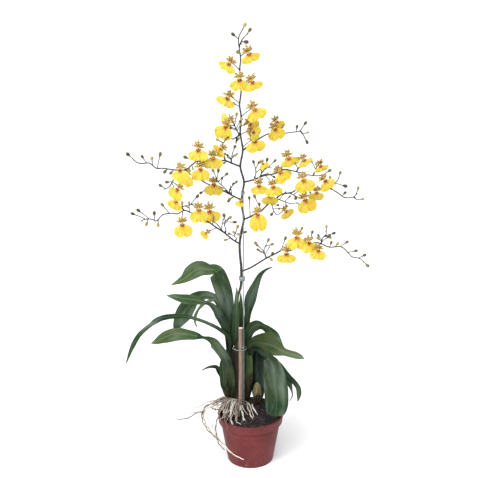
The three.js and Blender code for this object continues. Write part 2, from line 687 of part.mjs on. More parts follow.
const SPRAYS = {
  spray_left_low: {
    stems: [
      {
        drift: -70,
        radii: [1.3, 1.1, 0.9, 0.7],
        places: [
          [-19, 417], [-30, 424], [-45, 437], [-58, 446], [-70, 455], [-88, 464], [-100, 472], [-113, 477],
          [-124, 471], [-134, 472], [-150, 469], [-161, 458], [-168, 461], [-181, 461], [-188, 457],
        ],
      },
      { drift: -5, radii: [0.9, 0.7], places: [[-113, 477], [-116, 483], [-107, 486], [-95, 489]] },
      { drift: 8, radii: [0.9, 0.7], places: [[-45, 437], [-50, 443], [-57, 452], [-68, 460]] },
      { drift: -5, radii: [0.8, 0.6], places: [[-26, 421], [-24, 427], [-28, 431], [-24, 440]] },
      { drift: 4, radii: [0.8, 0.6], places: [[-43, 435], [-42, 441], [-45, 455], [-40, 461]] },
    ],
    flowers: [
      [-117, 453, 32, 8, 0, -9, 0.75], [-88, 479, 31, 0, 10, -9, 0.75], [-70, 477, 35, 12, 0],
      [-75, 437, 18, -40, -20],
    ],
    buds: [
      [-150, 487], [-164, 472], [-191, 477], [-201, 471], [-178, 453], [-158, 451], [-90, 502], [-116, 490],
      [-45, 468], [-35, 464], [-27, 456], [-22, 448], [-29, 438, 7, -4], [-20, 434, 7], [-43, 424, 7],
    ],
  },
  spray_left_middle: {
    stems: [
      {
        drift: 58,
        radii: [1.3, 1.1, 0.9, 0.7],
        places: [
          [-15, 497], [-20, 498], [-32, 504], [-45, 511], [-60, 518], [-73, 524], [-88, 532], [-110, 532],
          [-129, 531], [-137, 519], [-147, 514],
        ],
      },
      { drift: 5, radii: [0.8, 0.6], places: [[-32, 504], [-36, 512], [-33, 518], [-28, 523]] },
      { drift: -5, radii: [0.8, 0.6], places: [[-36, 507], [-44, 517], [-55, 528], [-58, 536]] },
    ],
    flowers: [
      [-107, 540, 31, -15, -15, -9, 0.69], [-62, 524, 34, 0, 0], [-122, 515, 32, -30, -30, -9, 0.7],
      [-126, 494, 30, -20, -20],
    ],
    buds: [
      [-152, 521], [-141, 527], [-24, 527, 7], [-40, 541, 7], [-54, 547], [-63, 547], [-37, 494, 7, -4],
      [-84, 508, 7],
    ],
  },
  spray_left_upper: {
    stems: [
      {
        drift: -60,
        radii: [1.3, 1.1, 0.9, 0.7],
        places: [
          [-17, 554], [-32, 560], [-42, 564], [-62, 564], [-88, 563], [-97, 558], [-108, 549], [-125, 548],
          [-148, 551], [-158, 551], [-170, 560], [-182, 559], [-190, 561], [-199, 569],
        ],
      },
      { drift: 4, radii: [0.8, 0.6], places: [[-32, 560], [-31, 572], [-29, 581]] },
      { drift: -3, radii: [0.8, 0.6], places: [[-42, 564], [-44, 575], [-47, 581]] },
    ],
    flowers: [
      [-63, 570, 35, 0, 0], [-48, 585, 27, -50, -30], [-87, 584, 35, 0, -5, -9, 0.57],
      [-84, 551, 31, 0, 10, -12, 0.7], [-118, 549, 31, 5, -15],
    ],
    buds: [
      [-151, 575, 9], [-181, 571, 7], [-205, 575], [-144, 545, 8, -4], [-134, 543, 7, -3], [-109, 570],
      [-26, 588, 7], [-26, 573, 7], [-37, 570, 6], [-165, 568, 7],
    ],
  },
  spray_left_short: {
    stems: [
      {
        drift: -26,
        radii: [1, 0.8, 0.7],
        places: [[-17, 610], [-23, 605], [-30, 601], [-36, 605], [-41, 601], [-45, 595], [-50, 597]],
      },
      { drift: -4, radii: [0.8, 0.7], places: [[-19, 608], [-24, 619], [-29, 630]] },
    ],
    flowers: [[-41, 623, 32, -20, -12, -9, 0.78], [-35, 634, 26, -70, -35, -4]],
    buds: [[-55, 600, 7], [-23, 643, 7]],
  },
  spray_right_top: {
    stems: [
      {
        drift: 48,
        radii: [1.2, 1, 0.8, 0.7],
        places: [[-13, 582], [-5, 588], [15, 602], [30, 610], [57, 611], [72, 613], [82, 615], [87, 622]],
      },
      { drift: 0, radii: [0.8, 0.6], places: [[82, 615], [87, 609], [91, 602]] },
    ],
    flowers: [[40, 619, 31, 20, 8, -9, 0.68], [43, 631, 25, 25, 15, 6]],
    buds: [[91, 628], [94, 596], [77, 622, 7], [54, 624, 7]],
  },
  spray_right_upper: {
    stems: [
      {
        drift: -64,
        radii: [1.3, 1.1, 0.9, 0.7],
        places: [
          [-11, 527], [5, 531], [22, 538], [42, 542], [56, 549], [65, 548], [77, 545], [95, 540], [115, 538],
          [127, 541],
        ],
      },
      { drift: -3, radii: [0.8, 0.6], places: [[77, 545], [81, 553], [86, 563]] },
      { drift: 5, radii: [0.8, 0.6], places: [[106, 539], [109, 548], [112, 556]] },
      { drift: 6, radii: [0.9, 0.7], places: [[15, 535], [20, 544], [28, 552], [36, 553]] },
      { drift: 0, radii: [0.8, 0.6], places: [[7, 532], [9, 543], [8, 554]] },
    ],
    flowers: [
      [63, 570, 34, 25, 0, -9, 0.53], [49, 545, 32, 35, 8], [20, 560, 17, 30, 0],
      [89, 566, 27, 30, 5, -9, 0.42], [117, 556, 26, 20, 5, -9, 0.42], [14, 522, 29, 5, 0],
      [38, 520, 30, 10, 0], [89, 532, 35, 15, 0, -9, 0.69], [125, 530, 29, 30, 20],
    ],
    buds: [[41, 564, 7], [28, 566, 7], [5, 562, 7], [14, 561, 6], [133, 547, 7]],
  },
  spray_right_middle: {
    stems: [
      {
        drift: 60,
        radii: [1.4, 1.2, 1, 0.8],
        places: [
          [-11, 461], [0, 466], [20, 478], [30, 488], [40, 495], [52, 505], [70, 509], [79, 514], [101, 515],
          [135, 515], [148, 508], [160, 500], [175, 501], [181, 508],
        ],
      },
      { drift: -3, radii: [0.8, 0.6], places: [[66, 508], [79, 501], [88, 498]] },
      { drift: 4, radii: [0.8, 0.6], places: [[44, 498], [57, 493], [69, 489], [80, 491]] },
      { drift: 3, radii: [0.8, 0.6], places: [[136, 515], [138, 523], [147, 530], [149, 537]] },
      { drift: -3, radii: [0.8, 0.6], places: [[36, 492], [38, 480], [45, 469], [54, 475]] },
      { drift: 0, radii: [0.8, 0.6], places: [[175, 501], [181, 496], [186, 497]] },
    ],
    flowers: [
      [33, 503, 29, 0, 0], [112, 510, 28, 0, 10], [92, 497, 35, 20, 0, -9, 0.7], [60, 477, 26, 30, 25],
      [12, 471, 31, 5, 0, -9, 1],
    ],
    buds: [
      [182, 516], [190, 497, 7], [77, 499, 7], [134, 535, 7], [143, 525, 7, -4], [151, 543, 7], [160, 520, 9],
      [160, 508, 7], [36, 470, 7], [15, 488, 7, -4], [7, 502], [-2, 499, 7], [84, 487, 7], [92, 511, 7],
    ],
  },
  spray_right_low: {
    stems: [
      {
        drift: -74,
        radii: [1.4, 1.2, 1, 0.7],
        places: [
          [-16, 366], [0, 373], [28, 391], [45, 400], [57, 407], [70, 409], [80, 412], [95, 413], [112, 419],
          [122, 417], [135, 411], [157, 411], [170, 399], [176, 393], [189, 390], [198, 382],
        ],
      },
      { drift: -3, radii: [0.9, 0.6], places: [[121, 417], [124, 427], [130, 435], [129, 441]] },
      { drift: 4, radii: [0.9, 0.6], places: [[27, 391], [24, 400], [24, 409], [28, 415]] },
    ],
    flowers: [
      [62, 400, 34, 0, 0, -9, 0.57], [80, 430, 36, 0, 0], [101, 420, 31, 10, 0],
      [117, 406, 29, -5, -10, -9, 0.7],
    ],
    buds: [
      [139, 419, 7], [150, 417, 7], [166, 420, 7], [182, 404, 7], [197, 396, 7], [203, 377], [130, 448, 7],
      [143, 436, 7], [137, 428, 6], [9, 418], [31, 424, 7], [37, 416, 7], [38, 399, 7], [36, 388, 7],
      [13, 406, 7], [60, 427, 8], [88, 445, 7], [106, 438, 7], [116, 427, 7],
    ],
  },
};

// ---------------------------------------------------------------- the whole plant

const MAIN_STEM = { curve: route(MAIN_STEM_PLACES), radii: MAIN_STEM_RADII, sides: 4 };

/** The main stem with the flowers and buds that it carries itself. */
function makeFloweringStem() {
  const stems = [MAIN_STEM, ...growStems(CROWN.stems, MAIN_STEM)];
  return dress(stems, CROWN.flowers, CROWN.buds);
}

/** A side spray, cleared of the main stem that it springs from. */
function makeSpray({ stems, flowers, buds }) {
  return clearOf(dress(growStems(stems, MAIN_STEM), flowers, buds), [wideStem, wideWire]);
}

const FINISHES = {
  pot: { color: "#8a464b", roughness: 0.55, metalness: 0 },
  soil: { color: "#32232d", roughness: 0.95, metalness: 0 },
  bamboo: { color: "#b08d7f", roughness: 0.6, metalness: 0 },
  wire: { color: "#829687", roughness: 0.4, metalness: 0 },
  tie: { color: "#93a3a3", roughness: 0.5, metalness: 0 },
  bulb: { color: "#55783f", roughness: 0.5, metalness: 0 },
  oldBulb: { color: "#7c7450", roughness: 0.7, metalness: 0 },
  root: { color: "#c9bdb0", roughness: 0.8, metalness: 0 },
  leaf: { color: "#4a6c3f", roughness: 0.5, metalness: 0 },
  flower: { color: "#f2d631", roughness: 0.6, metalness: 0 },
};

const orchid = new THREE.Group();

/** Adds a named piece to the plant. */
function addPiece(name, solid, finish) {
  const mesh = new THREE.Mesh(toGeometry(solid), new THREE.MeshStandardMaterial(finish));
  mesh.name = name;
  orchid.add(mesh);
}

const wideStake = makeStake(GAP);
const wideWire = makeWire(GAP);
const wideRhizome = makeRhizome(GAP);
const wideStem = makeStem(MAIN_STEM, STEM_GAP);

addPiece("pot", makePot(), FINISHES.pot);
addPiece("potting_mix", clearOf(makeSoil(), [wideStake, wideWire, wideRhizome]), FINISHES.soil);
addPiece("bamboo_stake", makeStake(), FINISHES.bamboo);
addPiece("support_wire", makeWire(), FINISHES.wire);
for (const [name, form] of Object.entries(RINGS)) {
  addPiece(name, makeRing(form), FINISHES.tie);
}
addPiece("rhizome_with_roots", clearOf(makeRhizome(), [wideStake, wideWire, wideStem]), FINISHES.root);

const widePseudobulbs = [];
for (const [name, form] of Object.entries(PSEUDOBULBS)) {
  const finish = name === "pseudobulb_old" ? FINISHES.oldBulb : FINISHES.bulb;
  addPiece(name, clearOf(makePseudobulb(form), [wideRhizome, wideStem]), finish);
  widePseudobulbs.push(makePseudobulb(form, GAP));
}

for (const [name, rows] of Object.entries(LEAVES)) {
  const neighbours = [...widePseudobulbs, wideRhizome, wideStem, wideStake, wideWire];
  addPiece(name, clearOf(makeLeaf(rows), neighbours), FINISHES.leaf);
}

addPiece("flower_stem", makeFloweringStem(), FINISHES.flower);
for (const [name, form] of Object.entries(SPRAYS)) {
  addPiece(name, makeSpray(form), FINISHES.flower);
}

export default orchid;
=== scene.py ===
"""An oncidium orchid in flower, standing in its nursery pot.

Places are laid out as an onlooker sees them, in millimetres: across and up in the plane of
the pot's axis, along the line of sight of an eye, and then by the depth behind that plane.
"""

import logging
import math
from collections.abc import Callable, Mapping, Sequence
from dataclasses import dataclass, field
from enum import Enum, IntEnum
from functools import partial

import bmesh
import bpy
import numpy as np
from bpy.types import Camera, Light, Material, Mesh, NodeSocket, NodeTree, Object
from mathutils import Euler, Matrix, Vector


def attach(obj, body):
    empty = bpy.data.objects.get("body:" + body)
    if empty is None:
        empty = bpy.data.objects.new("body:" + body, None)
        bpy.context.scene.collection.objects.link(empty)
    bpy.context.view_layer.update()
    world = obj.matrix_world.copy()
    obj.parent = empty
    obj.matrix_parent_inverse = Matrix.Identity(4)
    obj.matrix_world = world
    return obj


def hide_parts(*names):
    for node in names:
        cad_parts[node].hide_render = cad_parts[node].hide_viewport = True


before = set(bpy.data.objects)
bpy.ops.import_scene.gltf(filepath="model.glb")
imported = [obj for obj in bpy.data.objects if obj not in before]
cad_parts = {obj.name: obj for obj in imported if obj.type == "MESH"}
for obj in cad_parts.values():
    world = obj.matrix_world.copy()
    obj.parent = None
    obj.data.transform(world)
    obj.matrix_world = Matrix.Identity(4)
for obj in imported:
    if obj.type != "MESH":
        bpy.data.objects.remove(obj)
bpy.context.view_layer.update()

log = logging.getLogger("orchid")

MM = 0.001
EYE_DISTANCE = 1632.0
EYE_HEIGHT = 978.0
EYE_PITCH = 71.3
LENS_MM = 72.0
SENSOR_MM = 36.0

Triple = tuple[float, float, float]
Rows = Sequence[Sequence[float]]
Inputs = dict[str | int, object] | Sequence[object]
Sockets = Mapping[str | int, NodeSocket]
AddNode = Callable[..., Sockets]


# -------- places and curves


def seen(x: float, z: float, depth: float) -> np.ndarray:
    """Finds a point from where it shows.

    Args:
        x: How far across it shows in the plane of the pot's axis.
        z: How far up it shows there.
        depth: How far behind that plane it lies.

    Returns:
        The point, in millimetres.
    """
    reach = (EYE_DISTANCE + depth) / EYE_DISTANCE
    return np.array([x * reach, depth, EYE_HEIGHT + (z - EYE_HEIGHT) * reach])


def shown_at(points: np.ndarray) -> np.ndarray:
    """Tells where points show in the plane of the pot's axis.

    Args:
        points: The points, one to a row.

    Returns:
        Their places across and up, one to a row.
    """
    reach = (EYE_DISTANCE + points[:, 1]) / EYE_DISTANCE
    return np.stack([points[:, 0] / reach, EYE_HEIGHT + (points[:, 2] - EYE_HEIGHT) / reach], 1)


class Route:
    """A smooth centripetal curve through points of any number of values."""

    SAMPLES = 400

    def __init__(self, points: Sequence[Sequence[float]]) -> None:
        """Keeps the points, with one more in line beyond each end.

        Args:
            points: The points.
        """
        inner = np.array(points, float)
        before, after = 2 * inner[0] - inner[1], 2 * inner[-1] - inner[-2]
        self.points = np.vstack([before, inner, after])
        gaps = np.linalg.norm(np.diff(self.points, axis=0), axis=1) ** 0.5
        self.gaps = np.where(gaps < 1e-4, 1.0, gaps)
        self.table = np.linspace(0, 1, self.SAMPLES + 1)
        self.lengths = run_of(self.at(self.table))

    @property
    def length(self) -> float:
        """The curve's length."""
        return float(self.lengths[-1])

    def at(self, shares: np.ndarray) -> np.ndarray:
        """Evaluates the curve.

        Args:
            shares: Shares from 0 to 1, in which each span between two points takes the same.

        Returns:
            The points of the curve, one to a row.
        """
        spans = len(self.points) - 3
        place = np.clip(np.atleast_1d(shares), 0, 1) * spans
        index = np.minimum(place.astype(int), spans - 1)
        w = (place - index)[:, None]
        p0, p1, p2, p3 = (self.points[index + k] for k in range(4))
        d0, d1, d2 = (self.gaps[index + k][:, None] for k in range(3))
        m1 = ((p1 - p0) / d0 - (p2 - p0) / (d0 + d1) + (p2 - p1) / d1) * d1
        m2 = ((p2 - p1) / d1 - (p3 - p1) / (d1 + d2) + (p3 - p2) / d2) * d1
        square = -3 * p1 + 3 * p2 - 2 * m1 - m2
        cube = 2 * p1 - 2 * p2 + m1 + m2
        return p1 + w * (m1 + w * (square + w * cube))

    def even(self, shares: np.ndarray) -> np.ndarray:
        """Evaluates the curve at shares of its length, one point to a row."""
        return self.at(np.interp(np.atleast_1d(shares) * self.length, self.lengths, self.table))

    def tangents(self, shares: np.ndarray) -> np.ndarray:
        """Gives the curve's unit directions at the shares that `at` takes, one to a row.

        Args:
            shares: The shares.

        Returns:
            The unit directions, one to a row.
        """
        step = 1e-4
        ahead, behind = np.minimum(shares + step, 1), np.maximum(shares - step, 0)
        return unit(self.at(ahead) - self.at(behind))


def run_of(points: np.ndarray) -> np.ndarray:
    """Tells how far along their line each of some points lies."""
    return np.concatenate([[0], np.cumsum(np.linalg.norm(np.diff(points, axis=0), axis=1))])


def spaced(values: Sequence[float], shares: np.ndarray) -> np.ndarray:
    """Interpolates values that stand evenly spaced from share 0 to share 1."""
    return np.interp(shares, np.linspace(0, 1, len(values)), values)


def unit(vectors: np.ndarray) -> np.ndarray:
    """Scales vectors, which lie along the last axis, to unit length."""
    return vectors / np.maximum(np.linalg.norm(vectors, axis=-1, keepdims=True), 1e-9)


def route(places: Rows) -> Route:
    """Runs a curve through places given as across, up and depth."""
    return Route([seen(*place[:3]) for place in places])


def turn_about(vectors: np.ndarray, axes: np.ndarray, degrees: np.ndarray) -> np.ndarray:
    """Turns each vector about its own unit axis.

    Args:
        vectors: The vectors, one to a row.
        axes: The unit axes, one to a row.
        degrees: The angles, one for each row.

    Returns:
        The turned vectors, one to a row.
    """
    angle = np.radians(degrees)[:, None]
    along = (vectors * axes).sum(1, keepdims=True)
    turned = vectors * np.cos(angle) + np.cross(axes, vectors) * np.sin(angle)
    return turned + axes * along * (1 - np.cos(angle))


# -------- meshes


def pattern_at(u: np.ndarray, v: np.ndarray) -> np.ndarray:
    """Pairs places across a pattern with places along it, one pair for each point of a grid."""
    return np.stack(np.broadcast_arrays(u, v), -1)


def store(mesh: Mesh, name: str, values: np.ndarray) -> None:
    """Stores one number, or a row of three, for each point of a mesh."""
    kind, key = ("FLOAT_VECTOR", "vector") if values.ndim == 2 else ("FLOAT", "value")
    mesh.attributes.new(name, kind, "POINT").data.foreach_set(key, values.ravel())


@dataclass
class Draft:
    """A mesh that is put together from grids of points in millimetres."""

    points: list[np.ndarray] = field(default_factory=list)
    tones: list[np.ndarray] = field(default_factory=list)
    faces: list[tuple[int, ...]] = field(default_factory=list)
    finishes: list[int] = field(default_factory=list)
    corners: list[tuple[float, float]] = field(default_factory=list)
    count: int = 0

    def add_points(self, points: np.ndarray, tone: float) -> np.ndarray:
        """Adds points that share a tone.

        Args:
            points: The points, with x, y and z along the last axis.
            tone: A number that materials may vary their colour by.

        Returns:
            The points' numbers, shaped as the grid that they came in.
        """
        flat = points.reshape(-1, 3)
        numbers = np.arange(self.count, self.count + len(flat)).reshape(points.shape[:-1])
        self.points.append(flat)
        self.tones.append(np.full(len(flat), tone))
        self.count += len(flat)
        return numbers

    def add_face(self, numbers: Sequence[int], corners: Rows, finish: int) -> None:
        """Adds one face with the pattern places of its corners.

        Args:
            numbers: The numbers of its points.
            corners: Their places in the pattern.
            finish: The number of its material on the piece.
        """
        self.faces.append(tuple(int(n) for n in numbers))
        self.corners.extend((float(u), float(v)) for u, v in corners)
        self.finishes.append(finish)

    def add_quads(self, numbers: np.ndarray, pattern: np.ndarray, finish: int) -> None:
        """Adds the quads of a grid of point numbers.

        Args:
            numbers: The point numbers, by row and column.
            pattern: The place in the pattern of each point, with u and v along the last axis.
            finish: The number of the quads' material on the piece.
        """
        rows, columns = numbers.shape
        for i in range(rows - 1):
            for j in range(columns - 1):
                places = ((i, j), (i, j + 1), (i + 1, j + 1), (i + 1, j))
                self.add_face([numbers[p] for p in places], [pattern[p] for p in places], finish)

    def add_rounds(self, numbers: np.ndarray, finish: int) -> None:
        """Adds the quads between closed rings of point numbers, without a pattern."""
        wrapped = np.concatenate([numbers, numbers[:, :1]], 1)
        self.add_quads(wrapped, np.zeros((*wrapped.shape, 2)), finish)

    def add_tube(self, rings: np.ndarray, finish: int, tone: float = 0.5) -> None:
        """Adds a closed tube with flat ends.

        Args:
            rings: The points, by ring and column; columns run anticlockwise seen from the last ring.
            finish: The number of its material on the piece.
            tone: The tone of its points.
        """
        numbers = self.add_points(rings, tone)
        wrapped = np.concatenate([numbers, numbers[:, :1]], 1)
        closed = np.concatenate([rings, rings[:, :1]], 1)
        across = np.cumsum(np.linalg.norm(np.diff(closed, axis=1), axis=2), 1).max(0)
        along = run_of(rings.mean(1))
        across = np.concatenate([[0], across])
        self.add_quads(wrapped, pattern_at(across[None, :], along[:, None]), finish)
        self.add_face(numbers[0][::-1], [(0, 0)] * len(numbers[0]), finish)
        self.add_face(numbers[-1], [(0, along[-1])] * len(numbers[0]), finish)

    def add_blade(
        self, front: np.ndarray, back: np.ndarray, pattern: np.ndarray, finishes: tuple[int, int],
        tone: float = 0.5,
    ) -> None:
        """Adds a closed thin blade.

        Args:
            front: The front's points by row and column; rows run up where columns run to the right.
            back: The back's points in the same order.
            pattern: The pattern places of both, with u and v along the last axis.
            finishes: The numbers of the front's and the back's material on the piece.
            tone: The tone of its points.
        """
        fore, aft = self.add_points(front, tone), self.add_points(back, tone)
        self.add_quads(fore, pattern, finishes[0])
        self.add_quads(aft[:, ::-1], pattern[:, ::-1], finishes[1])
        for edge in (np.s_[0, :], np.s_[::-1, 0], np.s_[-1, ::-1], np.s_[:, -1]):
            strip = np.stack([aft[edge], fore[edge]])
            self.add_quads(strip, np.stack([pattern[edge]] * 2), finishes[0])

    def add_plate(
        self, middle: np.ndarray, half: float, pattern: np.ndarray, finish: int, tone: float = 0.5,
    ) -> None:
        """Adds a blade of one material from its middle layer, which faces -Y, and half its thickness."""
        back = np.array([0.0, half, 0.0])
        self.add_blade(middle - back, middle + back, pattern, (finish, finish), tone)

    def mesh(self, name: str, materials: Sequence[Material], crease: float = 50.0) -> Mesh:
        """Makes the mesh, in metres.

        Args:
            name: The mesh's name.
            materials: The piece's materials in the order of their numbers.
            crease: The angle in degrees past which two faces meet in a sharp edge.

        Returns:
            The mesh, with the pattern places in the UV map "pattern".
        """
        mesh = bpy.data.meshes.new(name)
        mesh.from_pydata((np.concatenate(self.points) * MM).tolist(), [], self.faces)
        mesh.polygons.foreach_set("material_index", self.finishes)
        mesh.uv_layers.new(name="pattern").data.foreach_set("uv", np.array(self.corners).ravel())
        store(mesh, "tone", np.concatenate(self.tones))
        for material in materials:
            mesh.materials.append(material)
        mesh.shade_smooth()
        mesh.set_sharp_from_angle(angle=math.radians(crease))
        return mesh


def lathe(profile: Rows, columns: int) -> np.ndarray:
    """Turns a profile round the vertical axis.

    Args:
        profile: Radius and height of each ring, from the lowest ring of the outside.
        columns: How many points each ring has.

    Returns:
        The rings' points, by ring and column.
    """
    angles = np.linspace(0, math.tau, columns, endpoint=False)
    rounds = np.stack([np.cos(angles), np.sin(angles)], 1)
    return np.stack([np.column_stack([rounds * radius, np.full(columns, z)]) for radius, z in profile])


def join_meshes(name: str, meshes: Sequence[Mesh], materials: Sequence[Material]) -> Mesh:
    """Joins meshes into one and removes them.

    Args:
        name: The new mesh's name.
        meshes: The meshes.
        materials: The materials of the new mesh, among which all of theirs are.

    Returns:
        The joined mesh.
    """
    whole = bmesh.new()
    for mesh in meshes:
        numbers = [materials.index(material) if material else 0 for material in mesh.materials]
        first = len(whole.faces)
        whole.from_mesh(mesh)
        whole.faces.ensure_lookup_table()
        for face in whole.faces[first:]:
            face.material_index = numbers[face.material_index] if numbers else 0
    joined = bpy.data.meshes.new(name)
    whole.to_mesh(joined)
    whole.free()
    for mesh in meshes:
        bpy.data.meshes.remove(mesh)
    for material in materials:
        joined.materials.append(material)
    return joined


def set_out(name: str, data: Mesh | Light | Camera) -> Object:
    """Adds an object to the scene.

    Args:
        name: The object's name.
        data: The mesh, light or camera that it shows.

    Returns:
        The object.
    """
    thing = bpy.data.objects.new(name, data)
    bpy.context.scene.collection.objects.link(thing)
    return thing


def evaluated(thing: Object) -> Mesh:
    """The plain mesh that an object's modifiers make of it."""
    graph = bpy.context.evaluated_depsgraph_get()
    return bpy.data.meshes.new_from_object(thing.evaluated_get(graph))


def place_piece(mesh: Mesh, node: str) -> None:
    """Puts a finished mesh into the scene in place of a CAD node.

    Args:
        mesh: The mesh, in metres and in place.
        node: The node that it stands for.
    """
    piece = set_out(f"{node}_dressed", mesh)
    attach(piece, "root")
    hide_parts(node)
    log.info("%s: %d faces", piece.name, len(mesh.polygons))


# -------- node trees


def add_node(tree: NodeTree, kind: str, inputs: Inputs = (), **settings: object) -> Sockets:
    """Adds a node to a tree.

    Args:
        tree: The tree.
        kind: The node's type.
        inputs: What its sockets are linked or set to, by name or number, or in their own order.
        **settings: The node's properties.

    Returns:
        The node's output sockets.
    """
    node = tree.nodes.new(kind)
    for name, value in settings.items():
        setattr(node, name, value)
    for key, value in (inputs.items() if isinstance(inputs, dict) else enumerate(inputs)):
        if isinstance(value, NodeSocket):
            tree.links.new(value, node.inputs[key])
        else:
            node.inputs[key].default_value = value
    return node.outputs


class GrowthTree:
    """A Geometry Nodes tree with named inputs, which turns a plain mesh into a finished one."""

    NAME = "growth"
    INPUTS: dict[str, tuple[str, object]] = {}

    def __init__(self) -> None:
        """Makes the tree's sockets and nodes, and ends it in real geometry with its material on."""
        self.tree = bpy.data.node_groups.new(self.NAME, "GeometryNodeTree")
        face = self.tree.interface
        face.new_socket("Geometry", in_out="OUTPUT", socket_type="NodeSocketGeometry")
        face.new_socket("Geometry", in_out="INPUT", socket_type="NodeSocketGeometry")
        for name, (kind, value) in self.INPUTS.items():
            socket = face.new_socket(name, in_out="INPUT", socket_type=kind)
            if value is not None:
                socket.default_value = value
        face.new_socket("Material", in_out="INPUT", socket_type="NodeSocketMaterial")
        add = partial(add_node, self.tree)
        given = add("NodeGroupInput")
        real = add("GeometryNodeRealizeInstances", [self.build(add, given)])["Geometry"]
        worn = add("GeometryNodeSetMaterial", {"Geometry": real, "Material": given["Material"]})
        add("NodeGroupOutput", [worn["Geometry"]])

    def build(self, add: AddNode, given: Sockets) -> NodeSocket:
        """Builds the tree's own nodes.

        Args:
            add: What adds a node to the tree.
            given: The tree's inputs.

        Returns:
            The socket of their result.
        """
        raise NotImplementedError

    def grow(self, base: Mesh, **values: object) -> Mesh:
        """Runs the tree on a mesh.

        Args:
            base: The mesh that the tree starts from, which is used up.
            **values: The tree's inputs by name, with _ for each space.

        Returns:
            The plain mesh that it makes.
        """
        holder = set_out(self.NAME, base)
        modifier = holder.modifiers.new(self.NAME, "NODES")
        modifier.node_group = self.tree
        for item in self.tree.interface.items_tree:
            name = item.name.replace(" ", "_")
            if item.item_type == "SOCKET" and item.in_out == "INPUT" and name in values:
                modifier[item.identifier] = values[name]
        holder.update_tag()
        mesh = evaluated(holder)
        holder.modifiers.clear()
        bpy.data.objects.remove(holder)
        bpy.data.meshes.remove(base)
        return mesh


class TubeTree(GrowthTree):
    """Round strands along edges, with the radius of each point and a knobbly skin."""

    NAME = "strands"
    INPUTS = {
        "Sides": ("NodeSocketInt", 8), "Knob Height": ("NodeSocketFloat", 0.0001),
        "Knob Scale": ("NodeSocketFloat", 300.0),
    }

    def build(self, add: AddNode, given: Sockets) -> NodeSocket:
        """Sweeps a circle along the edges and shifts its skin by a noise.

        Args:
            add: What adds a node to the tree.
            given: The tree's inputs.

        Returns:
            The socket of the result.
        """
        radius = add("GeometryNodeInputNamedAttribute", {"Name": "radius"}, data_type="FLOAT")["Attribute"]
        curve = add("GeometryNodeMeshToCurve", {"Mesh": given["Geometry"]})["Curve"]
        circle = add("GeometryNodeCurvePrimitiveCircle", {
            "Resolution": given["Sides"], "Radius": 1.0,
        })["Curve"]
        swept = add("GeometryNodeCurveToMesh", {
            "Curve": curve, "Profile Curve": circle, "Scale": radius, "Fill Caps": True,
        })["Mesh"]
        noise = add("ShaderNodeTexNoise", {"Scale": given["Knob Scale"], "Detail": 2.0})["Fac"]
        centred = add("ShaderNodeMath", (noise, 0.5), operation="SUBTRACT")["Value"]
        height = add("ShaderNodeMath", (centred, given["Knob Height"]), operation="MULTIPLY")["Value"]
        normal = add("GeometryNodeInputNormal")["Normal"]
        offset = add("ShaderNodeVectorMath", {0: normal, "Scale": height}, operation="SCALE")["Vector"]
        return add("GeometryNodeSetPosition", {"Geometry": swept, "Offset": offset})["Geometry"]


class SprigTree(GrowthTree):
    """Copies of one small form, turned and sized at each point."""

    NAME = "sprigs"
    INPUTS = {"Form": ("NodeSocketObject", None)}

    def build(self, add: AddNode, given: Sockets) -> NodeSocket:
        """Puts the form at each point with the point's own turn and size.

        Args:
            add: What adds a node to the tree.
            given: The tree's inputs.

        Returns:
            The socket of the result.
        """
        form = add(
            "GeometryNodeObjectInfo", {"Object": given["Form"]}, transform_space="ORIGINAL",
        )["Geometry"]
        turn, size = (
            add("GeometryNodeInputNamedAttribute", {"Name": name}, data_type="FLOAT_VECTOR")["Attribute"]
            for name in ("turn", "size")
        )
        return add("GeometryNodeInstanceOnPoints", {
            "Points": given["Geometry"], "Instance": form, "Rotation": turn, "Scale": size,
        })["Instances"]


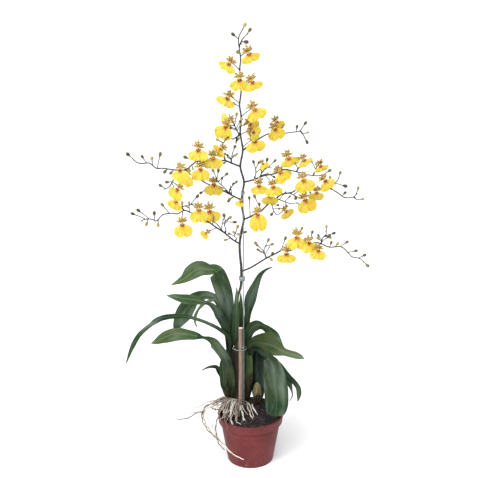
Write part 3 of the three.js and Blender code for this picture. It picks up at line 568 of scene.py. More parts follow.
class BarkTree(GrowthTree):
    """Angular chips strewn over a surface, each with its own size, turn and tone."""

    NAME = "bark chips"
    INPUTS = {
        "Spacing": ("NodeSocketFloat", 0.004), "Density": ("NodeSocketFloat", 60000.0),
        "Smallest": ("NodeSocketVector", (0.002, 0.0015, 0.001)),
        "Largest": ("NodeSocketVector", (0.006, 0.004, 0.0025)), "Break Scale": ("NodeSocketFloat", 260.0),
        "Break Depth": ("NodeSocketFloat", 0.0018), "Seed": ("NodeSocketInt", 4),
    }
    LEAST_TURN = (-0.5, -0.5, 0.0)
    MOST_TURN = (0.5, 0.5, math.tau)

    def build(self, add: AddNode, given: Sockets) -> NodeSocket:
        """Strews small solids and breaks their skin into facets by a noise.

        Args:
            add: What adds a node to the tree.
            given: The tree's inputs.

        Returns:
            The socket of the result.
        """
        seed = given["Seed"]
        strewn = add("GeometryNodeDistributePointsOnFaces", {
            "Mesh": given["Geometry"], "Distance Min": given["Spacing"], "Density Max": given["Density"],
            "Seed": seed,
        }, distribute_method="POISSON")["Points"]
        chip = add("GeometryNodeMeshIcoSphere", {"Radius": 1.0, "Subdivisions": 2})["Mesh"]
        turn, size = (
            add("FunctionNodeRandomValue", {0: least, 1: most, "Seed": seed}, data_type="FLOAT_VECTOR")[0]
            for least, most in ((self.LEAST_TURN, self.MOST_TURN), (given["Smallest"], given["Largest"]))
        )
        placed = add("GeometryNodeInstanceOnPoints", {
            "Points": strewn, "Instance": chip, "Rotation": turn, "Scale": size,
        })["Instances"]
        tone = add("FunctionNodeRandomValue", {2: 0.0, 3: 1.0, "Seed": seed}, data_type="FLOAT")[1]
        toned = add(
            "GeometryNodeStoreNamedAttribute", {"Geometry": placed, "Name": "tone", "Value": tone},
            data_type="FLOAT", domain="INSTANCE",
        )["Geometry"]
        real = add("GeometryNodeRealizeInstances", [toned])["Geometry"]
        noise = add("ShaderNodeTexNoise", {"Scale": given["Break Scale"], "Detail": 3.0})["Color"]
        centred = add("ShaderNodeVectorMath", (noise, (0.5, 0.5, 0.5)), operation="SUBTRACT")["Vector"]
        offset = add("ShaderNodeVectorMath", {
            0: centred, "Scale": given["Break Depth"],
        }, operation="SCALE")["Vector"]
        return add("GeometryNodeSetPosition", {"Geometry": real, "Offset": offset})["Geometry"]


@dataclass
class Strand:
    """A round strand: its points in millimetres and its radius at each."""

    points: np.ndarray
    radii: np.ndarray
    tone: float = 0.5


def strand_mesh(strands: Sequence[Strand]) -> Mesh:
    """Makes the edges that a TubeTree sweeps.

    Args:
        strands: The strands.

    Returns:
        A mesh of edges, in metres, with the radius and the tone of each point.
    """
    points, edges, radii, tones = [], [], [], []
    for strand in strands:
        first = sum(len(p) for p in points)
        points.append(strand.points * MM)
        radii.append(strand.radii * MM)
        tones.append(np.full(len(strand.points), strand.tone))
        edges.extend((first + i, first + i + 1) for i in range(len(strand.points) - 1))
    mesh = bpy.data.meshes.new("strands")
    mesh.from_pydata(np.concatenate(points).tolist(), edges, [])
    store(mesh, "radius", np.concatenate(radii))
    store(mesh, "tone", np.concatenate(tones))
    return mesh


@dataclass
class Sprig:
    """One copy of a small form: where it stands, the way it points, its size and its tone."""

    point: np.ndarray
    direction: np.ndarray
    size: Triple
    tone: float = 0.5
    facing: np.ndarray | None = None

    def turn(self) -> Euler:
        """Turns the form's Z to the sprig's direction, and its -Y to its facing if it has one.

        Returns:
            The turn.
        """
        up = Vector(self.direction).normalized()
        if self.facing is None:
            return up.to_track_quat("Z", "Y").to_euler()
        right = up.cross(Vector(self.facing)).normalized()
        back = up.cross(right)
        return Matrix((right, back, up)).transposed().to_euler()


def sprig_mesh(sprigs: Sequence[Sprig]) -> Mesh:
    """Makes the points that a SprigTree dresses, in metres, from millimetre sprigs.

    Args:
        sprigs: The sprigs, in millimetres.

    Returns:
        A mesh of points, in metres, with each one's turn, size and tone.
    """
    mesh = bpy.data.meshes.new("sprigs")
    mesh.from_pydata([tuple(sprig.point * MM) for sprig in sprigs], [], [])
    store(mesh, "turn", np.array([tuple(sprig.turn()) for sprig in sprigs]))
    store(mesh, "size", np.array([sprig.size for sprig in sprigs]))
    store(mesh, "tone", np.array([sprig.tone for sprig in sprigs]))
    return mesh


# -------- finishes


def linear(colour: str) -> tuple[float, float, float, float]:
    """Turns an sRGB hex colour into linear light.

    Args:
        colour: The colour, such as "#8a464b".

    Returns:
        Its linear red, green and blue, and 1.
    """
    shares = [int(colour[i : i + 2], 16) / 255 for i in (1, 3, 5)]
    red, green, blue = (c / 12.92 if c <= 0.04045 else ((c + 0.055) / 1.055) ** 2.4 for c in shares)
    return red, green, blue, 1.0


def per_metre(size_mm: float) -> float:
    """The texture scale that repeats a pattern every so many millimetres in metre coordinates."""
    return 1000.0 / size_mm


# A wave texture of this scale has bands one unit apart.
WAVE_PERIOD = math.pi / 10


@dataclass
class Pattern:
    """What a finish's nodes give its shader: a ground colour, and coats over it by their shares."""

    ground: str
    coats: list[tuple[NodeSocket, str]]
    height: NodeSocket
    roughness: NodeSocket | None = None


@dataclass(frozen=True)
class Finish:
    """What one surface is made of, with the values of its shader."""

    name: str
    roughness: float = 0.5
    ior: float = 1.45
    relief_mm: float = 0.1
    coat: float = 0.0
    coat_roughness: float = 0.3
    sheen: float = 0.0
    subsurface: float = 0.0
    subsurface_mm: float = 4.0

    def pattern(self, add: AddNode) -> Pattern:
        """Builds the nodes that colour the surface, with what adds a node to its tree."""
        raise NotImplementedError

    def make(self) -> Material:
        """Makes the material.

        Returns:
            The material.
        """
        material = bpy.data.materials.new(self.name)
        material.use_nodes = True
        material.node_tree.nodes.clear()
        add = partial(add_node, material.node_tree)
        made = self.pattern(add)
        colour = linear(made.ground)
        for share, coat in made.coats:
            colour = add("ShaderNodeMix", {
                "Factor": share, 6: colour, 7: linear(coat),
            }, data_type="RGBA")[2]
        relief = {"Height": made.height, "Distance": self.relief_mm * MM, "Strength": 1.0}
        shader = add("ShaderNodeBsdfPrincipled", {
            "Base Color": colour, "Roughness": made.roughness or self.roughness, "IOR": self.ior,
            "Coat Weight": self.coat, "Coat Roughness": self.coat_roughness, "Sheen Weight": self.sheen,
            "Subsurface Weight": self.subsurface, "Subsurface Scale": self.subsurface_mm * MM,
            "Normal": add("ShaderNodeBump", relief)["Normal"],
        })
        add("ShaderNodeOutputMaterial", {"Surface": shader["BSDF"]})
        return material


@dataclass(frozen=True)
class Mottled(Finish):
    """A surface of three colours that run into one another in soft patches, with a grain.

    The patches and the grain may be drawn out along the vertical axis, as fibres are.
    """

    low: str = "#000000"
    middle: str = "#808080"
    high: str = "#ffffff"
    patch_mm: float = 10.0
    grain_mm: float = 1.0
    stretch: float = 1.0
    grain_share: float = 0.4
    tone_share: float = 0.0
    roughness_spread: float = 0.12
    # The spans of the mixed noise over which the middle colour and then the high one come in.
    middle_span: tuple[float, float] = (0.3, 0.5)
    high_span: tuple[float, float] = (0.5, 0.7)

    def pattern(self, add: AddNode) -> Pattern:
        """Mixes the three colours by patches, grain and the surface's own tone.

        Args:
            add: What adds a node to the tree.

        Returns:
            The pattern.
        """
        place = add("ShaderNodeTexCoord")["Object"]
        drawn = add("ShaderNodeMapping", {
            "Vector": place, "Scale": (1.0, 1.0, 1.0 / self.stretch),
        })["Vector"]
        patches, grain = (
            add("ShaderNodeTexNoise", {"Vector": drawn, "Scale": per_metre(size), "Detail": detail})["Fac"]
            for size, detail in ((self.patch_mm, 3.0), (self.grain_mm, 4.0))
        )
        blend = add("ShaderNodeMix", {
            "Factor": self.grain_share, 2: patches, 3: grain,
        }, data_type="FLOAT")[0]
        tone = add("ShaderNodeAttribute", attribute_name="tone")["Fac"]
        toned = add("ShaderNodeMix", {"Factor": self.tone_share, 2: blend, 3: tone}, data_type="FLOAT")[0]
        middle, high = (
            add(
                "ShaderNodeMapRange", (toned, *span),
            )["Result"] for span in (self.middle_span, self.high_span)
        )
        least, most = self.roughness - self.roughness_spread, self.roughness + self.roughness_spread
        roughness = add("ShaderNodeMapRange", (grain, 0.32, 0.68, least, most))["Result"]
        return Pattern(self.low, [(middle, self.middle), (high, self.high)], grain, roughness)


@dataclass(frozen=True)
class MouldedPlastic(Mottled):
    """Injection-moulded terracotta-coloured polypropylene: a soft satin with splashes and dust low down."""

    dust: str = "#a98478"
    # The painted shadow under the rim band's ledge: its colour, the ledge's height and how far the band
    # reaches.
    ledge_shade: str = "#220e10"
    ledge_mm: float = 75.4
    ledge_shade_mm: tuple[float, float] = (0.3, 1.7)
    splash_mm: float = 5.0
    dust_height_mm: float = 26.0
    dust_shares: tuple[float, float] = (0.35, 0.08)

    def pattern(self, add: AddNode) -> Pattern:
        """Adds dried splashes, more of them low down, and painted shade under the ledge to the plain
        plastic.

        Args:
            add: What adds a node to the tree.

        Returns:
            The pattern.
        """
        made = super().pattern(add)
        place = add("ShaderNodeTexCoord")["Object"]
        height = add("ShaderNodeSeparateXYZ", [place])["Z"]
        low = add("ShaderNodeMapRange", (
            height, 0.0, self.dust_height_mm * MM, *self.dust_shares,
        ))["Result"]
        specks = add("ShaderNodeTexNoise", {
            "Vector": place, "Scale": per_metre(self.splash_mm), "Detail": 6.0,
        })["Fac"]
        kept = add("ShaderNodeMapRange", (specks, 0.56, 0.76))["Result"]
        dusty = add("ShaderNodeMath", (low, kept), operation="MULTIPLY")["Value"]
        # Painted shade: a dark band in the shadow under the ledge.
        off = add("ShaderNodeMath", (height, self.ledge_mm * MM), operation="SUBTRACT")["Value"]
        away = add("ShaderNodeMath", [off], operation="ABSOLUTE")["Value"]
        near, far = self.ledge_shade_mm
        ledge_shaded = add("ShaderNodeMapRange", (away, near * MM, far * MM, 0.8, 0.0))["Result"]
        made.coats += [(dusty, self.dust), (ledge_shaded, self.ledge_shade)]
        return made


@dataclass(frozen=True)
class VeinedLeaf(Finish):
    """A strap leaf's waxy skin: parallel veins, a pale midrib, clouds of green, a film of wax with painted
    sheen in it, and painted shade at its base.

    The pattern places are millimetres across from the midrib and millimetres along it.
    """

    dark: str = "#000000"
    light: str = "#ffffff"
    rib: str = "#ffffff"
    ripe: str = "#585e28"
    # Painted shade, darkest at the leaf's base and fading out along it.
    shade: str = "#050c07"
    # The pale wax film, whose hazy streaks are also a painted sheen.
    wax: str = "#a3b5a8"
    cloud_mm: float = 34.0
    # How far along the leaf the painted shade reaches, and its share at the base.
    shaded_mm: float = 140.0
    shaded_share: float = 0.85
    wax_and_sheen_share: float = 0.3
    vein_mm: float = 1.5
    vein_share: float = 0.4
    rib_mm: float = 0.9
    rib_share: float = 0.6

    def pattern(self, add: AddNode) -> Pattern:
        """Lays ripe patches, the midrib, the wax film with its painted sheen, and painted shade towards the
        leaf's base over two greens.

        Args:
            add: What adds a node to the tree.

        Returns:
            The pattern.
        """
        place = add("ShaderNodeUVMap", uv_map="pattern")["UV"]
        drawn = add("ShaderNodeMapping", {"Vector": place, "Scale": (1.0, 0.12, 1.0)})["Vector"]
        clouds = add("ShaderNodeTexNoise", {"Vector": drawn, "Scale": 0.16, "Detail": 4.0})["Fac"]
        fibres = add("ShaderNodeTexNoise", {"Vector": drawn, "Scale": 1.1, "Detail": 3.0})["Fac"]
        veins = add("ShaderNodeTexWave", {
            "Vector": place, "Scale": WAVE_PERIOD / self.vein_mm, "Distortion": 0.6, "Detail": 1.0,
        }, bands_direction="X")["Fac"]
        lines = add("ShaderNodeMix", {"Factor": self.vein_share, 2: clouds, 3: veins}, data_type="FLOAT")[0]
        streaks = add("ShaderNodeMix", {"Factor": 0.25, 2: lines, 3: fibres}, data_type="FLOAT")[0]
        lit = add("ShaderNodeMapRange", (streaks, 0.38, 0.62))["Result"]
        side = add("ShaderNodeSeparateXYZ", [place])
        away = add("ShaderNodeMath", [side["X"]], operation="ABSOLUTE")["Value"]
        ribbed = add("ShaderNodeMapRange", (
            away, self.rib_mm * 0.3, self.rib_mm, self.rib_share, 0.0,
        ))["Result"]
        solid = add("ShaderNodeTexCoord")["Object"]
        weather = add("ShaderNodeTexNoise", {
            "Vector": solid, "Scale": per_metre(self.cloud_mm), "Detail": 3.0,
        })["Fac"]
        patch = add("ShaderNodeMapRange", (weather, 0.36, 0.6))["Result"]
        tone = add("ShaderNodeAttribute", attribute_name="tone")["Fac"]
        ripened = add("ShaderNodeMath", (patch, tone), operation="MULTIPLY")["Value"]
        # The wax film: real pale wax, laid in streaks that also paint in a sheen.
        loose = {"Vector": place, "Location": (31.0, 7.0, 0.0), "Scale": (0.055, 0.013, 1.0)}
        blown = add("ShaderNodeMapping", loose)["Vector"]
        film = add("ShaderNodeTexNoise", {"Vector": blown, "Scale": 1.0, "Detail": 3.0})["Fac"]
        wax_and_sheen = add("ShaderNodeMapRange", (film, 0.48, 0.78, 0.0, self.wax_and_sheen_share))["Result"]
        # Painted shade: darker towards the leaf's base, fading over shaded_mm along the midrib.
        shaded = add("ShaderNodeMapRange", (
            side["Y"], 0.0, self.shaded_mm, self.shaded_share, 0.0,
        ))["Result"]
        coats = [
            (lit, self.light), (ripened, self.ripe), (ribbed, self.rib), (wax_and_sheen, self.wax),
            (shaded, self.shade),
        ]
        least, most = self.roughness - 0.1, self.roughness + 0.12
        return Pattern(self.dark, coats, lines, add(
            "ShaderNodeMapRange", (weather, 0.3, 0.7, least, most),
        )["Result"])


@dataclass(frozen=True)
class LipPetal(Finish):
    """The lip's satin petal: clear yellow, deeper and freckled with red-brown round its throat.

    The pattern places are the angle from straight down in degrees and the share of the way out.
    """

    yellow: str = "#c4ad20"
    pale: str = "#cfc64c"
    deep: str = "#b5850f"
    freckle: str = "#7c3410"
    throat: float = 0.24
    cloud_mm: float = 14.0
    freckle_mm: float = 2.4

    def pattern(self, add: AddNode) -> Pattern:
        """Fans faint veins out from a deeper throat with freckles.

        Args:
            add: What adds a node to the tree.

        Returns:
            The pattern.
        """
        place = add("ShaderNodeUVMap", uv_map="pattern")["UV"]
        solid = add("ShaderNodeTexCoord")["Object"]
        out = add("ShaderNodeSeparateXYZ", [place])["Y"]
        fanned = add("ShaderNodeMapping", {"Vector": place, "Scale": (0.16, 1.2, 1.0)})["Vector"]
        veins = add("ShaderNodeTexNoise", {"Vector": fanned, "Scale": 1.0, "Detail": 3.0})["Fac"]
        clouds = add("ShaderNodeTexNoise", {
            "Vector": solid, "Scale": per_metre(self.cloud_mm), "Detail": 2.0,
        })["Fac"]
        light = add("ShaderNodeMix", {"Factor": 0.5, 2: veins, 3: clouds}, data_type="FLOAT")[0]
        paler = add("ShaderNodeMapRange", (light, 0.38, 0.68))["Result"]
        near = add("ShaderNodeMapRange", (out, self.throat * 0.4, self.throat * 1.7, 0.85, 0.0))["Result"]
        dots = add("ShaderNodeTexNoise", {
            "Vector": solid, "Scale": per_metre(self.freckle_mm), "Detail": 1.0,
        })["Fac"]
        freckles = add("ShaderNodeMapRange", (dots, 0.5, 0.6))["Result"]
        inside = add("ShaderNodeMapRange", (out, self.throat * 0.6, self.throat * 1.15, 1.0, 0.0))["Result"]
        spotted = add("ShaderNodeMath", (freckles, inside), operation="MULTIPLY")["Value"]
        return Pattern(self.yellow, [(paler, self.pale), (near, self.deep), (spotted, self.freckle)], veins)


@dataclass(frozen=True)
class BarredTepal(Finish):
    """A tepal's petal skin: honey yellow with red-brown bars across it, browner near its foot.

    The pattern places are millimetres across and millimetres out from the flower's centre.
    """

    ground: str = "#c8b060"
    bar: str = "#5a3418"
    bar_mm: float = 3.1
    blotch_mm: float = 4.5
    fade_mm: float = 9.0
    fade_shares: tuple[float, float] = (0.13, -0.02)

    def pattern(self, add: AddNode) -> Pattern:
        """Breaks bars across the tepal into blotches.

        Args:
            add: What adds a node to the tree.

        Returns:
            The pattern.
        """
        place = add("ShaderNodeUVMap", uv_map="pattern")["UV"]
        solid = add("ShaderNodeTexCoord")["Object"]
        bars = add("ShaderNodeTexWave", {
            "Vector": place, "Scale": WAVE_PERIOD / self.bar_mm, "Distortion": 9.0, "Detail": 2.5,
            "Detail Scale": 2.2,
        }, bands_direction="Y")["Fac"]
        blotches = add("ShaderNodeTexNoise", {
            "Vector": solid, "Scale": per_metre(self.blotch_mm), "Detail": 2.0,
        })["Fac"]
        share = add("ShaderNodeMix", {"Factor": 0.6, 2: bars, 3: blotches}, data_type="FLOAT")[0]
        out = add("ShaderNodeSeparateXYZ", [place])["Y"]
        inward = add("ShaderNodeMapRange", (out, 0.0, self.fade_mm, *self.fade_shares))["Result"]
        darker = add("ShaderNodeMath", (share, inward), operation="ADD")["Value"]
        brown = add("ShaderNodeMapRange", (darker, 0.47, 0.61))["Result"]
        return Pattern(self.ground, [(brown, self.bar)], blotches)


@dataclass(frozen=True)
class FlowerStalk(Mottled):
    """A flower stem's smooth skin: green low down, ripening to a dark purple-brown higher up."""

    green: str = "#465231"
    green_top_mm: float = 330.0
    green_shares: tuple[float, float] = (0.8, 0.1)

    def pattern(self, add: AddNode) -> Pattern:
        """Lets the green fade out with height.

        Args:
            add: What adds a node to the tree.

        Returns:
            The pattern.
        """
        made = super().pattern(add)
        height = add("ShaderNodeSeparateXYZ", [add("ShaderNodeTexCoord")["Object"]])["Z"]
        top = self.green_top_mm
        fading = add("ShaderNodeMapRange", (height, top * 0.5 * MM, top * MM, *self.green_shares))["Result"]
        made.coats.append((fading, self.green))
        return made


def dressed_in(finish: Finish) -> Material:
    """A field of the palette, whose material is made with the palette."""
    return field(default_factory=finish.make)


@dataclass
class Palette:
    """The materials of the whole plant, each made once."""

    # Polypropylene scatters light softly, so its gloss is broad and its colour dull.
    pot: Material = dressed_in(MouldedPlastic(
        "moulded_polypropylene", low="#532022", middle="#642a2a", high="#723434", patch_mm=40.0,
        grain_mm=0.9, roughness=0.5, relief_mm=0.05, ior=1.25,
    ))
    # Damp composted bark: nearly black where wet, grey-brown where a chip has dried.
    bark: Material = dressed_in(Mottled(
        "composted_pine_bark", low="#0e090b", middle="#1e1518", high="#40342f", patch_mm=5.0, grain_mm=0.8,
        roughness=0.85, relief_mm=0.5, tone_share=0.4, stretch=0.6,
    ))
    # The fine crumb between the chips holds the most water, so it is darker still and quite dull.
    crumb: Material = dressed_in(Mottled(
        "peat_crumb", low="#0c080a", middle="#181113", high="#241b1b", patch_mm=3.0, grain_mm=0.7,
        roughness=0.92, relief_mm=0.8,
    ))
    # Bamboo's outer skin is hard and silky, with fibres along the cane.
    cane: Material = dressed_in(Mottled(
        "bamboo_skin", low="#4b3b34", middle="#7d685d", high="#b3a091", patch_mm=7.0, grain_mm=0.7,
        stretch=18.0, roughness=0.45, relief_mm=0.12, coat=0.15,
    ))
    # A sawn end shows pale, dry fibres head on.
    cane_cut: Material = dressed_in(Mottled(
        "sawn_bamboo", low="#cbb9a0", middle="#e6dac6", high="#f4ecdd", patch_mm=1.6, grain_mm=0.5,
        roughness=0.8, relief_mm=0.15,
    ))
    # The wire's thin plastic coat is smooth and a little glossy, in a dull grey-green.
    wire: Material = dressed_in(Mottled(
        "plastic_coated_wire", low="#48544d", middle="#5b6961", high="#78867e", patch_mm=12.0, grain_mm=1.2,
        roughness=0.38, relief_mm=0.03, ior=1.5,
    ))
    # Soft vinyl dulls and greys in the light.
    tie: Material = dressed_in(Mottled(
        "soft_vinyl_tie", low="#5a6866", middle="#7a8886", high="#9aa6a3", patch_mm=6.0, grain_mm=0.8,
        roughness=0.5, relief_mm=0.04, ior=1.5,
    ))
    # A pseudobulb's thick skin is waxy, and streaked along its ribs.
    bulb: Material = dressed_in(Mottled(
        "pseudobulb_skin", low="#14220d", middle="#2c401b", high="#586f34", patch_mm=6.0, grain_mm=1.2,
        stretch=9.0, roughness=0.4, relief_mm=0.08, subsurface=0.05, ior=1.3,
    ))
    # Bulbs deep inside the plant get a darker blue-green copy of the skin, with their shade painted in.
    shaded_bulb: Material = dressed_in(Mottled(
        "shaded_pseudobulb_skin", low="#060b08", middle="#101d16", high="#26402c", patch_mm=7.0,
        grain_mm=1.2, stretch=7.0, roughness=0.38, relief_mm=0.08, ior=1.3,
    ))
    # A spent bulb has lost its wax: it is dull, yellowed and wrinkled.
    old_bulb: Material = dressed_in(Mottled(
        "withered_pseudobulb", low="#3a331d", middle="#625937", high="#938860", patch_mm=3.0, grain_mm=0.8,
        stretch=5.0, roughness=0.7, relief_mm=0.5,
    ))
    # Dead sheaths dry to a brown paper with long fibres; the colours are darkened nearly to black, which
    # paints in the shade round the feet of the bulbs.
    husk: Material = dressed_in(Mottled(
        "papery_sheath", low="#120f0a", middle="#272216", high="#50472f", patch_mm=4.0, grain_mm=0.6,
        stretch=14.0, roughness=0.75, relief_mm=0.2, ior=1.3,
    ))
    # Dry velamen is chalky white, with green and brown showing through where it is damp or scuffed.
    velamen: Material = dressed_in(Mottled(
        "root_velamen", low="#4f4136", middle="#bfb1a2", high="#f8f2e9", patch_mm=9.0, grain_mm=1.0,
        roughness=0.82, relief_mm=0.25, sheen=0.2, tone_share=0.4,
    ))
    # A leaf's upper side is dark under a thin wax, which lies in hazy pale patches that also paint in a
    # sheen, and gives a satin gloss; its base is darkened with painted shade.
    leaf: Material = dressed_in(VeinedLeaf(
        "waxy_leaf_upper", dark="#040f07", light="#1f4327", rib="#365a30", roughness=0.3, ior=1.2,
        relief_mm=0.12, coat=0.12, subsurface=0.02,
    ))
    # Its underside is paler and duller, and the veins stand out more.
    leaf_under: Material = dressed_in(VeinedLeaf(
        "matt_leaf_underside", dark="#1c301d", light="#4c6840", rib="#6d8456", roughness=0.4, ior=1.2,
        relief_mm=0.14, vein_share=0.45, subsurface=0.02,
    ))
    # A flower stem is smooth and wiry, with a faint gloss on its dark skin.
    stem: Material = dressed_in(FlowerStalk(
        "flower_stem_skin", low="#150f10", middle="#261d1e", high="#43362f", patch_mm=9.0, grain_mm=1.0,
        stretch=4.0, roughness=0.45, relief_mm=0.05,
    ))
    # Closed sepals are matt and olive, flushed with brown by their age.
    bud: Material = dressed_in(Mottled(
        "bud_skin", low="#40361f", middle="#6f6239", high="#a09156", patch_mm=3.0, grain_mm=0.9,
        roughness=0.5, relief_mm=0.1, tone_share=0.45,
    ))
    # The yellow petal is thin enough to glow a little in its folds.
    lip: Material = dressed_in(LipPetal(
        "lip_petal", roughness=0.55, relief_mm=0.12, sheen=0.15, subsurface=0.4,
    ))
    # The tepals are thicker and waxier than the lip, and let less light through.
    tepal: Material = dressed_in(BarredTepal(
        "barred_tepal", roughness=0.55, relief_mm=0.08, subsurface=0.08,
    ))
    # The callus is a lump of hard wax, stained red-brown.
    callus: Material = dressed_in(Mottled(
        "waxy_callus", low="#52200a", middle="#86380d", high="#d88f20", patch_mm=1.8, grain_mm=0.6,
        roughness=0.5, relief_mm=0.08, tone_share=0.3,
    ))
    # The column is waxy too, in the yellow of the flower with brown at its wings.
    column: Material = dressed_in(Mottled(
        "waxy_column", low="#8a4a14", middle="#cf9a2c", high="#ecc854", patch_mm=1.8, grain_mm=0.6,
        roughness=0.55, relief_mm=0.05,
    ))


# -------- the pot and what stands in it


@dataclass
class NurseryPot:
    """The round pot: a tapering wall with a rim band, a rolled lip and drain holes."""

    height: float = 92.0
    rim_radius: float = 60.0
    shoulder_radius: float = 54.2
    base_radius: float = 42.0
    band_height: float = 16.0
    overhang: float = 1.8
    wall: float = 1.6
    floor: float = 2.0
    hole_radius: float = 3.2
    hole_circle: float = 30.0
    hole_count: int = 5
    columns: int = 144

    def profile(self) -> Rows:
        """Draws the section of the wall, from the underside up the outside and down the inside.

        Returns:
            Radius and height of each ring.
        """
        shoulder = self.height - self.band_height
        band = self.rim_radius - self.overhang
        inner_foot = self.base_radius - self.wall + 0.3
        outside = [
            (0.5, 0.0), (self.base_radius - 1.5, 0.0), (self.base_radius - 0.5, 0.3),
            (self.base_radius, 1.5), (self.shoulder_radius - 1.0, shoulder - 7.0),
            (self.shoulder_radius - 0.3, shoulder - 2.4), (self.shoulder_radius - 0.7, shoulder - 1.5),
            (self.shoulder_radius - 0.3, shoulder - 0.5), (band - 0.5, shoulder), (band, shoulder + 0.7),
            (band + 0.4, shoulder + 3.0), (self.rim_radius - 0.4, self.height - 3.6),
            (self.rim_radius, self.height - 2.6), (self.rim_radius, self.height - 0.9),
            (self.rim_radius - 0.3, self.height - 0.3), (self.rim_radius - 0.8, self.height),
        ]
        inside = [
            (band - self.wall + 0.9, self.height), (band - self.wall + 0.5, self.height - 0.6),
            (band - self.wall, shoulder + 1.0), (self.shoulder_radius - self.wall, shoulder - 2.0),
            (inner_foot, self.floor + 1.0), (inner_foot - 1.0, self.floor), (0.5, self.floor),
        ]
        return outside + inside

    def build(self, palette: Palette) -> None:
        """Turns the wall, drills the drain holes and puts the pot in place.

        Args:
            palette: The materials.
        """
        draft = Draft()
        draft.add_tube(lathe(self.profile(), self.columns), 0)
        body = set_out("pot_body", draft.mesh("pot", [palette.pot], crease=40.0))
        drill_draft = Draft()
        for k in range(self.hole_count):
            angle = k / self.hole_count * math.tau
            drill = lathe([(self.hole_radius, -3.0), (self.hole_radius, 3 * self.floor)], 24)
            centre = [self.hole_circle * math.cos(angle), self.hole_circle * math.sin(angle), 0]
            drill_draft.add_tube(drill + centre, 0)
        drills = set_out("pot_drills", drill_draft.mesh("drills", [palette.pot]))
        cut = body.modifiers.new("drain_holes", "BOOLEAN")
        cut.object = drills
        cut.operation = "DIFFERENCE"
        cut.solver = "EXACT"
        mesh = evaluated(body)
        bpy.data.objects.remove(body)
        bpy.data.objects.remove(drills)
        place_piece(mesh, "pot")


@dataclass
class PottingMix:
    """The plug of bark and peat that fills the pot, with loose chips on top."""

    # What the tree of bark chips is given for the fine crumbs between them.
    FINES = {
        "Spacing": 0.0026, "Smallest": (0.0008, 0.0007, 0.0006), "Largest": (0.0020, 0.0016, 0.0013),
        "Break_Depth": 0.0006, "Seed": 9,
    }

    level: float = 83.4
    relief: float = 2.2
    heap: float = 10.5
    foot_radius: float = 40.4
    top_radius: float = 51.6
    foot: float = 2.3
    rings: int = 16
    columns: int = 72
    bare_rings: int = 2
    side_depth: float = 14.0
    # Where the heap at the rear begins, and how far behind that it is at its highest.
    heap_start: float = 4.0
    heap_run: float = 36.0
    # The sizes of the swellings of the top, and their shares.
    swellings: Rows = ((9.0, 0.6), (4.0, 0.3), (2.2, 0.2))
    seed: int = 11

    def surface(self) -> np.ndarray:
        """Shapes the uneven top, from its edge to its middle.

        Returns:
            The rings' points, by ring and column.
        """
        random = np.random.default_rng(self.seed)
        radii = np.linspace(self.top_radius, 1.0, self.rings)
        rings = lathe([(radius, self.level) for radius in radii], self.columns)
        x, y = rings[..., 0], rings[..., 1]
        swell = sum(
            np.sin(x / size + random.uniform(0, 6)) * np.cos(y / size + random.uniform(0, 6)) * share
            for size, share in self.swellings
        )
        rings[..., 2] += swell * self.relief + random.uniform(-0.4, 0.4, x.shape)
        rings[..., 2] += self.heap * np.clip((y - self.heap_start) / self.heap_run, 0, 1) ** 1.2
        return rings

    def bed(self, surface: np.ndarray) -> Mesh:
        """Makes the ground that chips are strewn on: the top without its outermost rings.

        Args:
            surface: The rings of the top.

        Returns:
            The ground, in metres.
        """
        draft = Draft()
        draft.add_rounds(draft.add_points(surface[self.bare_rings :], 0.5), 0)
        return draft.mesh("bed", [])

    def build(self, palette: Palette) -> None:
        """Builds the plug, strews the chips and puts both in place as one piece.

        Args:
            palette: The materials.
        """
        surface = self.surface()
        foot, side = (self.foot_radius, self.foot), (self.top_radius, self.level - self.side_depth)
        walls = lathe([(0.5, self.foot), foot, side], self.columns)
        plug = Draft()
        plug.add_tube(np.concatenate([walls, surface]), 0)
        tree = BarkTree()
        chips = tree.grow(self.bed(surface), Material=palette.bark)
        crumbs = tree.grow(self.bed(surface), Material=palette.bark, **self.FINES)
        meshes = [plug.mesh("plug", [palette.crumb]), chips, crumbs]
        mesh = join_meshes("potting_mix", meshes, [palette.crumb, palette.bark])
        place_piece(mesh, "potting_mix")


